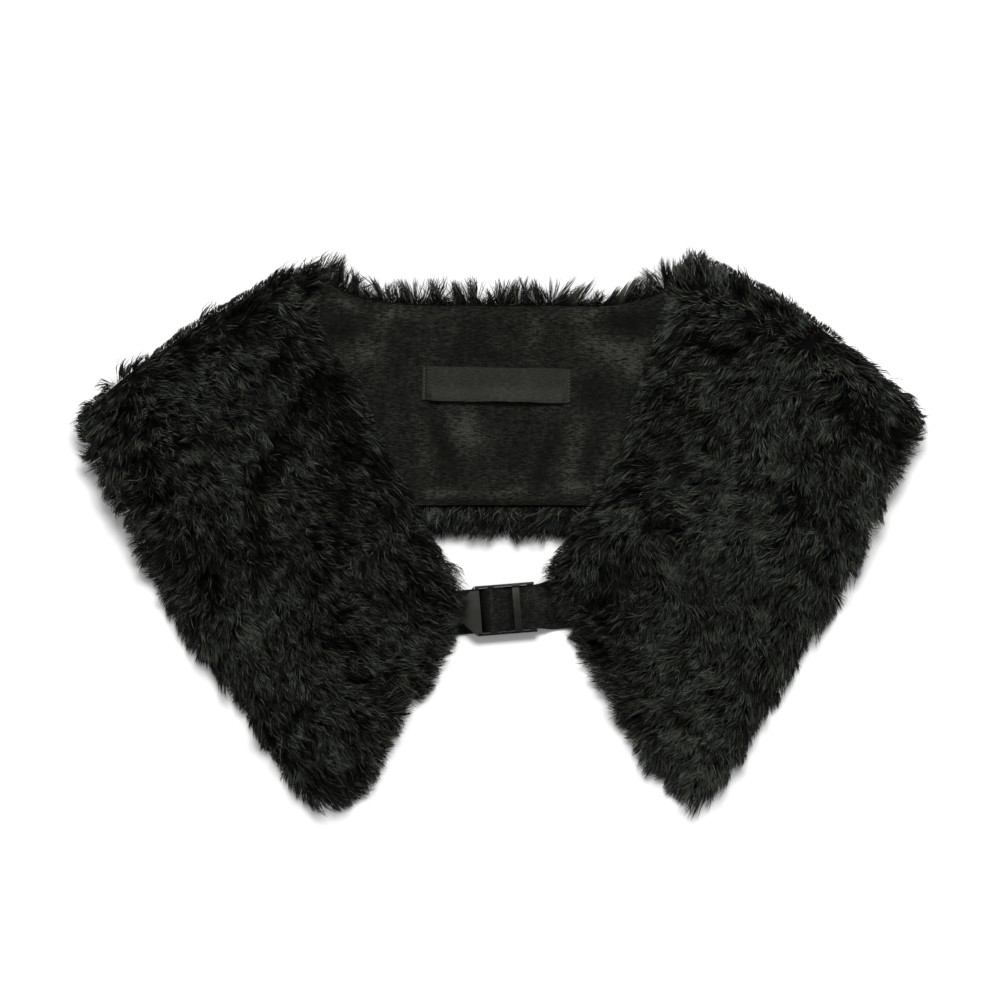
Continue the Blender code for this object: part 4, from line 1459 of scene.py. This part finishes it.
def plastic_material(buckle):
    """Grained, mottled plastic crowned towards the rails, with painted shade on the rails, a
    painted highlight along the upper rail, the bar painted light at its top end and shaded at its
    foot, and painted shade towards the plate's hidden end.
    """
    plain = buckle.plastic_roughness
    made, tree, shader = new_material("black satin plastic", plain, 0.12)
    place = object_place(tree, STRAP_TURN)
    grain = noise(tree, place, Scale=2600.0, Detail=3.0, Roughness=0.6)
    patches = mottle(tree, place, 180.0, 1.4)
    rough = sums(tree, "MULTIPLY_ADD", patches, 0.12, plain - 0.06)
    tree.links.new(rough, shader.inputs["Roughness"])
    x, y, _ = split(tree, place)
    off = sums(tree, "ABSOLUTE", sums(tree, "SUBTRACT", y, BUCKLE_MIDDLE))
    # Painted shade on the rails, and a painted highlight along the upper rail's outer edge
    rail = ramp(tree, off, *RAIL_EDGES)
    face = sums(tree, "SUBTRACT", 1.0, product(tree, rail, 0.9))
    face = sums(tree, "ADD", face, product(tree, ramp(tree, y, *UPPER_RAIL), 0.7))
    face = product(tree, face, sums(tree, "MULTIPLY_ADD", patches, 0.4, 0.6))
    # The plate in painted shade towards its hidden end, and the bar's end of the frame darker
    for low, high, least in DARKER_STRETCHES:
        face = product(tree, face, ramp(tree, x, low, high, least))
    # The bar lit at its upper end and shaded at its lower end, as painted highlight and shade
    bar = ramp(tree, x, -0.0060, 0.0)
    rise = sums(tree, "MULTIPLY_ADD", y, 75.0, -75.0 * BUCKLE_MIDDLE)
    face = product(tree, face, sums(tree, "POWER", 2.4, product(tree, rise, bar)))
    face = sums(tree, "MINIMUM", face, 1.6)
    paint(tree, shader, face, shade(buckle.plastic_colour, 0.05), buckle.plastic_colour)
    past = sums(tree, "MAXIMUM", sums(tree, "ADD", y, 0.0445), 0.0)
    past = sums(tree, "MINIMUM", past, 0.0132)
    crown = product(tree, sums(tree, "POWER", past, 2.0), -7.0)
    bump(tree, shader, sums(tree, "MULTIPLY_ADD", grain, 0.00003, crown), 1.0)
    return made


def floor_material(stage):
    made, tree, shader = new_material("white table", 0.8, 0.2)
    patches = mottle(tree, object_place(tree), 3.0, 0.5)
    paint(tree, shader, patches, shade(stage.floor_colour, 0.985), stage.floor_colour)
    return made


# Operators


class COLLAR_OT_stage(bpy.types.Operator):
    """Sets the table, the soft lights and the camera straight above"""

    bl_idname = "collar.stage"
    bl_label = "Stage"

    def execute(self, context):
        stage = context.scene.collar.stage
        self.table(context, stage)
        self.lights(context, stage)
        self.camera(context, stage)
        return {"FINISHED"}

    def table(self, context, stage):
        deselect()
        bpy.ops.mesh.primitive_plane_add(size=6.0, location=(0, 0, -0.0002))
        table = context.object
        table.name = "table"
        bpy.ops.object.transform_apply(location=True, rotation=True, scale=True)
        table.data.materials.append(floor_material(stage))

    def lights(self, context, stage):
        """A large light beyond the neck edge, and an even sky that is dimmer straight above."""
        bpy.ops.object.light_add(type="AREA", location=(0.12, 1.2, 1.5))
        key = context.object
        key.name = "key light"
        key.data.shape, key.data.size, key.data.size_y = "RECTANGLE", 1.1, 0.6
        key.data.energy = stage.key_energy
        way = Vector((0, 0.02, 0)) - key.location
        key.rotation_euler = way.to_track_quat("-Z", "Y").to_euler()
        world = bpy.data.worlds.new("studio")
        context.scene.world = world
        world.use_nodes = True
        tree = world.node_tree
        sky = tree.nodes["Background"]
        sky.inputs["Strength"].default_value = stage.sky_strength
        _, _, z = split(tree, add(tree, "TexCoord").outputs["Generated"])
        height = sums(tree, "POWER", sums(tree, "MAXIMUM", z, 0.0), 3.0)
        light = mix(tree, height, (1.0, 1.0, 1.0), (0.3, 0.3, 0.3))
        tree.links.new(light, sky.inputs["Color"])

    def camera(self, context, stage):
        """Looks straight down, and sees the view's width at the collar's middle height."""
        bpy.ops.object.camera_add(location=(-0.0014, 0.0191, stage.camera_height))
        camera = context.object
        camera.rotation_euler = (0, 0, 0)
        distance = stage.camera_height - 0.012
        camera.data.sensor_width = 36.0
        camera.data.lens = camera.data.sensor_width * distance / stage.view_width
        camera.data.clip_start, camera.data.clip_end = 0.05, 20.0
        context.scene.camera = camera
        context.scene.view_settings.view_transform = "Standard"


class COLLAR_OT_linings(bpy.types.Operator):
    """Makes the back's lining and the two fronts' linings, with their soft creases"""

    bl_idname = "collar.linings"
    bl_label = "Linings"

    def execute(self, context):
        cloth = context.scene.collar.cloth
        material = lining_material(cloth, "charcoal slub lining", True)
        self.lining(cloth, "back", 1, 3, BACK_CREASES, material, "laid", ["back_fur"])
        material = lining_material(cloth, "charcoal slub lining, fronts", False)
        right = [row._replace(height=row.height * 0.45) for row in FRONT_CREASES]
        left = [row._replace(x=-row.x, degrees=168 - row.degrees) for row in right]
        for side, creases in (("left_front", left), ("right_front", right)):
            under = ["back_lining", "table"]
            self.lining(cloth, side, -1, 2, creases, material, "folded", under)
        return {"FINISHED"}

    def lining(self, cloth, side, facing, levels, creases, material, held, under):
        node = side + "_lining"
        sheet = sheet_from(node, node + "_cloth", facing, levels)
        crease(sheet, creases, cloth.crease_share)
        thickness = cloth.lining_thickness
        apply(sheet, "SOLIDIFY", thickness=thickness, offset=-1.0, use_even_offset=True)
        sheet.data.materials.append(material)
        smooth(sheet, 50)
        finish(sheet, "lining", node)


class COLLAR_OT_label(bpy.types.Operator):
    """Makes the bare satin label and the stitches at its ends"""

    bl_idname = "collar.label"
    bl_label = "Label"

    def execute(self, context):
        cloth = context.scene.collar.cloth
        low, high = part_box("neck_label")
        middle = (low + high) / 2
        wide, deep = LABEL_SIZE
        deselect()
        bpy.ops.mesh.primitive_grid_add(x_subdivisions=72, y_subdivisions=14, size=1.0)
        label = context.object
        label.name = label.data.name = "neck_label_ribbon"
        points = points_of(label.data) * MM
        x, y = points[:, 0] * wide, points[:, 1] * deep
        # Its lower edge waves and stands off the lining between the two sewn ends
        down = ease((-0.05 - points[:, 1]) / 0.45)
        wave = 0.55 * np.sin(x * 0.115 + 0.8) + 0.25 * np.sin(x * 0.31 + 2.0)
        y = y + down * (0.45 * wave)
        ends = ease((np.abs(x) - LABEL_FLAT_PAST) / 3.5)
        lift = 0.25 + down * (2.0 + 1.1 * wave) * (1 - ends) - 0.12 * ends
        z = low.z / MM + 0.55 + np.maximum(lift, 0.0)
        x, y = rotated(x, y, LABEL_TURN)
        set_points(label.data, np.stack([x + middle.x / MM, y + middle.y / MM, z], 1))
        thickness = LABEL_THICKNESS * MM
        apply(label, "SOLIDIFY", thickness=thickness, offset=-1.0, use_even_offset=True)
        label.data.materials.append(label_material(cloth))
        smooth(label, 50)
        finish(label, "label", "neck_label")
        self.stitches(context, cloth, middle, low.z + 0.72 * MM)
        return {"FINISHED"}

    def stitches(self, context, cloth, middle, height):
        """Two short rows of thread, one at each end of the label."""
        deselect()
        bpy.ops.mesh.primitive_uv_sphere_add(
            segments=8, ring_count=6, radius=STITCH_RADIUS * MM
        )
        first = context.object
        first.name = "label_stitches"
        bpy.ops.transform.resize(value=(1.0, 1.5, 0.6))
        bpy.ops.object.transform_apply(location=True, rotation=True, scale=True)
        places = [(side * STITCH_COLUMN, y) for side in (-1, 1) for y in np.arange(*STITCH_ROWS)]
        copies = [first]
        for _ in places[1:]:
            pick(first)
            bpy.ops.object.duplicate()
            copies.append(context.object)
        for copy, (x, y) in zip(copies, places):
            x, y = rotated(x, y, LABEL_TURN)
            copy.location = (middle.x + x * MM, middle.y + y * MM, height)
            copy.rotation_euler.z = LABEL_TURN
        deselect()
        for copy in copies:
            copy.select_set(True)
        context.view_layer.objects.active = first
        bpy.ops.object.join()
        bpy.ops.object.transform_apply(location=True, rotation=True, scale=True)
        first.data.materials.append(thread_material(cloth))
        smooth(first, 80)
        finish(first, "label")


class COLLAR_OT_webbing(bpy.types.Operator):
    """Makes the two lengths of strap webbing that meet in the buckle"""

    bl_idname = "collar.webbing"
    bl_label = "Webbing"

    def execute(self, context):
        cloth = context.scene.collar.cloth
        material = webbing_material(cloth)
        for node, (wide, length), under in (
            ("left_webbing", LEFT_STRAP, "left_front_lining"),
            ("right_webbing", RIGHT_STRAP, "buckle_frame"),
        ):
            strap = copy_node(node, node + "_strap")
            with editing(strap):
                bpy.ops.mesh.tris_convert_to_quads(face_threshold=1.2, shape_threshold=3.1)
            apply(strap, "BEVEL", width=0.00022, segments=2, limit_method="ANGLE", angle_limit=1.0)
            strap.data.materials.append(material)
            smooth(strap, 45)
            finish(strap, "webbing", node)
        return {"FINISHED"}


class COLLAR_OT_buckle(bpy.types.Operator):
    """Gives the two halves of the buckle their satin plastic"""

    bl_idname = "collar.buckle"
    bl_label = "Buckle"

    def execute(self, context):
        material = plastic_material(context.scene.collar.buckle)
        for node in ("buckle_housing", "buckle_frame"):
            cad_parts[node].material_slots[0].material = material
        return {"FINISHED"}


class COLLAR_OT_fronts(bpy.types.Operator):
    """Makes the fur of the two fronts: its cloth and the pile on it"""

    bl_idname = "collar.fronts"
    bl_label = "Front fur"

    def execute(self, context):
        fur = context.scene.collar.fur
        floor = tree_of(
            "back_lining",
            "back_fur",
            "neck_label",
            "left_webbing",
            "right_webbing",
            "buckle_housing",
            "buckle_frame",
        )
        left = LEFT_FLOW, LEFT_PARTINGS, LEFT_REACHES, LEFT_GLOWS
        right = RIGHT_FLOW, RIGHT_PARTINGS, RIGHT_REACHES, RIGHT_GLOWS
        self.front(fur, floor, "left_front", 1, *left)
        self.front(fur, floor, "right_front", 2, *right)
        return {"FINISHED"}

    def front(self, fur, floor, side, seed, flow, partings, reaches, glows):
        node, lining = side + "_fur", side + "_lining"
        outline = reach_of(node)

        def grow(rim, out):
            """Less where the pile lies outwards, since it hides more of the edge there."""
            room = nearest_edge(rim, *outline)[0] + 0.5 * np.clip(reach_at(rim, reaches), -2, 8)
            angle = lie(Roots(rim, None, None, None), flow, ())[0]
            outwards = np.cos(angle) * out[:, 0] + np.sin(angle) * out[:, 1]
            inset = EDGE_INSET + OUTWARD_INSET * np.clip(outwards, 0, 1)
            return np.clip(room - np.where(out[:, 1] > -0.15, FOLD_INSET, inset), 1.0, 14.0)

        skin, _, (rim, out) = make_skin(lining, side + "_cloth", grow)
        self.round_off(skin, node, rim, out)
        skin.data.materials.append(backing_material(fur))
        pile = fur_material(fur)
        chance = np.random.default_rng(fur.seed + seed)
        gap = fur.front_gap / MM
        at, normal = scatter(skin, gap, chance)
        side_at, side_normal = round_the_rim(rim, out, 0.6 * gap, 0.3, 1.8, chance)
        at, normal = np.vstack([at, side_at]), np.vstack([normal, side_normal])
        roots = Roots(at, normal, *nearest_edge(at, rim, out))
        angle, dip, whirl = lie(roots, flow, partings)
        style = style_from(fur, seed=fur.seed * 100 + seed * 10)
        glow = FRONT_CONTRAST * glow_at(roots.at, glows)
        paths, width, tone = lock_paths(roots, angle, dip, whirl, glow, style)
        fit(paths, outline, reaches, chance)
        settle(paths, floor)
        thick = chance.random(len(paths)) < THICK_SHARE
        fine = ~thick
        kept = paths[thick], width[thick], tone[thick], pile, LOCK_SHARES
        locks = lock_mesh(side + "_locks", *kept)
        kept = simpler(paths[fine]), width[fine] * fur.fine_width, tone[fine], pile, HAIR_SHARES
        hair = lock_mesh(side + "_fine_hair", *kept)
        for piece in (locks, hair, skin):
            finish(piece, "fur", node)

    def round_off(self, skin, node, rim, out):
        """Thickens the skin up to just below the pile's reach, rounded down at its edge."""
        plan = points_of(skin.data)
        inside, _ = nearest_edge(plan, rim, out)
        low = plan[:, 2] + SKIN_CLEARANCE
        top = heights(tree_of(node), plan, 0.0)
        top = np.maximum(top - SKIN_DEPTH, low + SKIN_THICKNESS)
        rounded = np.sqrt(1 - (1 - np.clip(inside / SKIN_ROUNDING, 0, 1)) ** 2)
        thicken(skin, low, low + SKIN_THICKNESS + (top - low - SKIN_THICKNESS) * rounded)
        smooth(skin, 80)


class COLLAR_OT_back(bpy.types.Operator):
    """Makes the fur of the back: tufts past the neck edge and the hem, and the pile beneath"""

    bl_idname = "collar.back"
    bl_label = "Back fur"

    def execute(self, context):
        fur = context.scene.collar.fur
        skin, hem, edge = make_skin("back_lining", "back_cloth", self.grow)
        plan = points_of(skin.data)
        inside, _ = nearest_edge(plan, *hem)
        low, high = BACK_SKIN
        thicken(skin, np.full(len(plan), low), high + 0.17 * np.clip(inside, -9, 0))
        skin.data.materials.append(backing_material(fur))
        smooth(skin, 80)
        chance = np.random.default_rng(fur.seed + 9)
        pieces = [
            self.edge_pile(fur, skin, hem, edge, chance),
            self.under_pile(fur, skin, edge, chance),
        ]
        for piece in (*pieces, skin):
            finish(piece, "fur", "back_fur")
        return {"FINISHED"}

    def grow(self, rim, out):
        """The skin goes well past the lining at the hem, and a little past it elsewhere."""
        return np.where(out[:, 1] < -0.4, 9.0, 1.1)

    def edge_pile(self, fur, skin, hem, edge, chance):
        """The locks that show past the lining: tufts at the neck edge and a fringe at the hem."""
        rim, out = edge
        at, normal = scatter(skin, EDGE_GAP, chance)
        side_at, side_normal = round_the_rim(rim, out, 0.6, 0, 2.4, chance)
        side_at[:, 2] += 4.2 - rim[:, 2].mean()
        at, normal = np.vstack([at, side_at]), np.vstack([normal, side_normal])
        kept = (np.abs(at[:, 0]) < HIDDEN_PAST) | (chance.random(len(at)) < HIDDEN_SHARE)
        at, normal = at[kept], normal[kept]
        inside, _ = nearest_edge(at, *hem)
        roots = Roots(at, normal, *nearest_edge(at, rim, out)).part(inside < -0.15)
        angle = np.arctan2(roots.out[:, 1], roots.out[:, 0])
        hanging = roots.out[:, 1] < -0.5
        neck = (roots.out[:, 1] > 0.4) & (np.abs(roots.at[:, 0]) < 106)
        length = np.where(hanging, HEM_LENGTH, np.where(neck, NECK_LENGTH, END_LENGTH))
        angle = np.where(hanging, angle - 0.25 + 0.25 * drift(roots.at, 22, 31), angle)
        for tuft in NECK_TUFTS:
            off = (roots.at[:, 0] - tuft.x) / tuft.width
            near = neck & (np.abs(off) < 1)
            length = np.where(near, tuft.length * (1.12 - 0.95 * np.abs(off) ** 1.7), length)
            way = math.radians(tuft.degrees) + tuft.width / tuft.length * 0.5 * off
            angle = np.where(near, way, angle)
        style = style_from(
            fur,
            length=length,
            width=0.44,
            lift=0.22,
            wisp_gap=2.2,
            clump_gap=3.6,
            wisp_pull=0.6,
            clump_pull=0.0,
            curl=2.6,
            unevenness=0.3,
            stray=0.9,
            fold_push=1.0,
            shares=(0.0, 0.03, 0.55, 1.0),
            seed=fur.seed * 100 + 50,
        )
        none = np.zeros(len(angle))
        dark = np.where(neck, NECK_STOPS, 0.0)
        paths, width, tone = lock_paths(roots, angle, none, none, dark, style)
        fit(paths, reach_of("back_fur"), (Reach(0, 131, 6, 110),), chance, -1.5, 2.5)
        settle(paths, tree_of("back_lining"))
        pile = fur_material(fur)
        return lock_mesh("back_edge_pile", paths, width, tone, pile, style.shares, 0.45)

    def under_pile(self, fur, skin, edge, chance):
        """The pressed pile between the skin and the table, shorter near the edge."""
        at, normal = scatter(skin, UNDER_GAP, chance, below=True)
        roots = Roots(at, normal, *nearest_edge(at, *edge))
        angle = np.full(len(at), -TAU / 4) + 0.5 * drift(at, 90, 5)
        length = np.where(roots.inside < 16, 8.0, 16.0)
        style = style_from(fur, seed=fur.seed * 100 + 70, width=2.6, lift=0.25, length=length)
        none = np.zeros(len(at))
        paths, width, tone = lock_paths(roots, angle, none, none, none, style)
        paths[:, :, 2] = np.clip(paths[:, :, 2], 0.35, 4.6)
        return lock_mesh("back_under_pile", paths, width, tone, fur_material(fur), style.shares)


class COLLAR_PT_panel(bpy.types.Panel):
    """Lists the collar's settings and the steps that build it"""

    bl_label = "Fur collar"
    bl_idname = "COLLAR_PT_panel"
    bl_space_type = "VIEW_3D"
    bl_region_type = "UI"
    bl_category = "Collar"

    def draw(self, context):
        for title in ("Fur", "Cloth", "Buckle", "Stage"):
            group = getattr(context.scene.collar, title.lower())
            box = self.layout.box()
            box.label(text=title)
            for key in group.__annotations__:
                box.prop(group, key)
        for operator in OPERATORS:
            self.layout.operator(operator.bl_idname)


OPERATORS = (
    COLLAR_OT_stage,
    COLLAR_OT_linings,
    COLLAR_OT_label,
    COLLAR_OT_webbing,
    COLLAR_OT_buckle,
    COLLAR_OT_fronts,
    COLLAR_OT_back,
)
GROUPS = (FurSettings, ClothSettings, BuckleSettings, StageSettings, CollarSettings)
CLASSES = (*GROUPS, *OPERATORS, COLLAR_PT_panel)


def register():
    for cls in CLASSES:
        bpy.utils.register_class(cls)
    bpy.types.Scene.collar = PointerProperty(type=CollarSettings)


def unregister():
    del bpy.types.Scene.collar
    for cls in reversed(CLASSES):
        bpy.utils.unregister_class(cls)


def main():
    register()
    bpy.ops.collar.stage()
    bpy.ops.collar.linings()
    bpy.ops.collar.label()
    bpy.ops.collar.webbing()
    bpy.ops.collar.buckle()
    bpy.ops.collar.fronts()
    bpy.ops.collar.back()


if __name__ == "__main__":
    main()
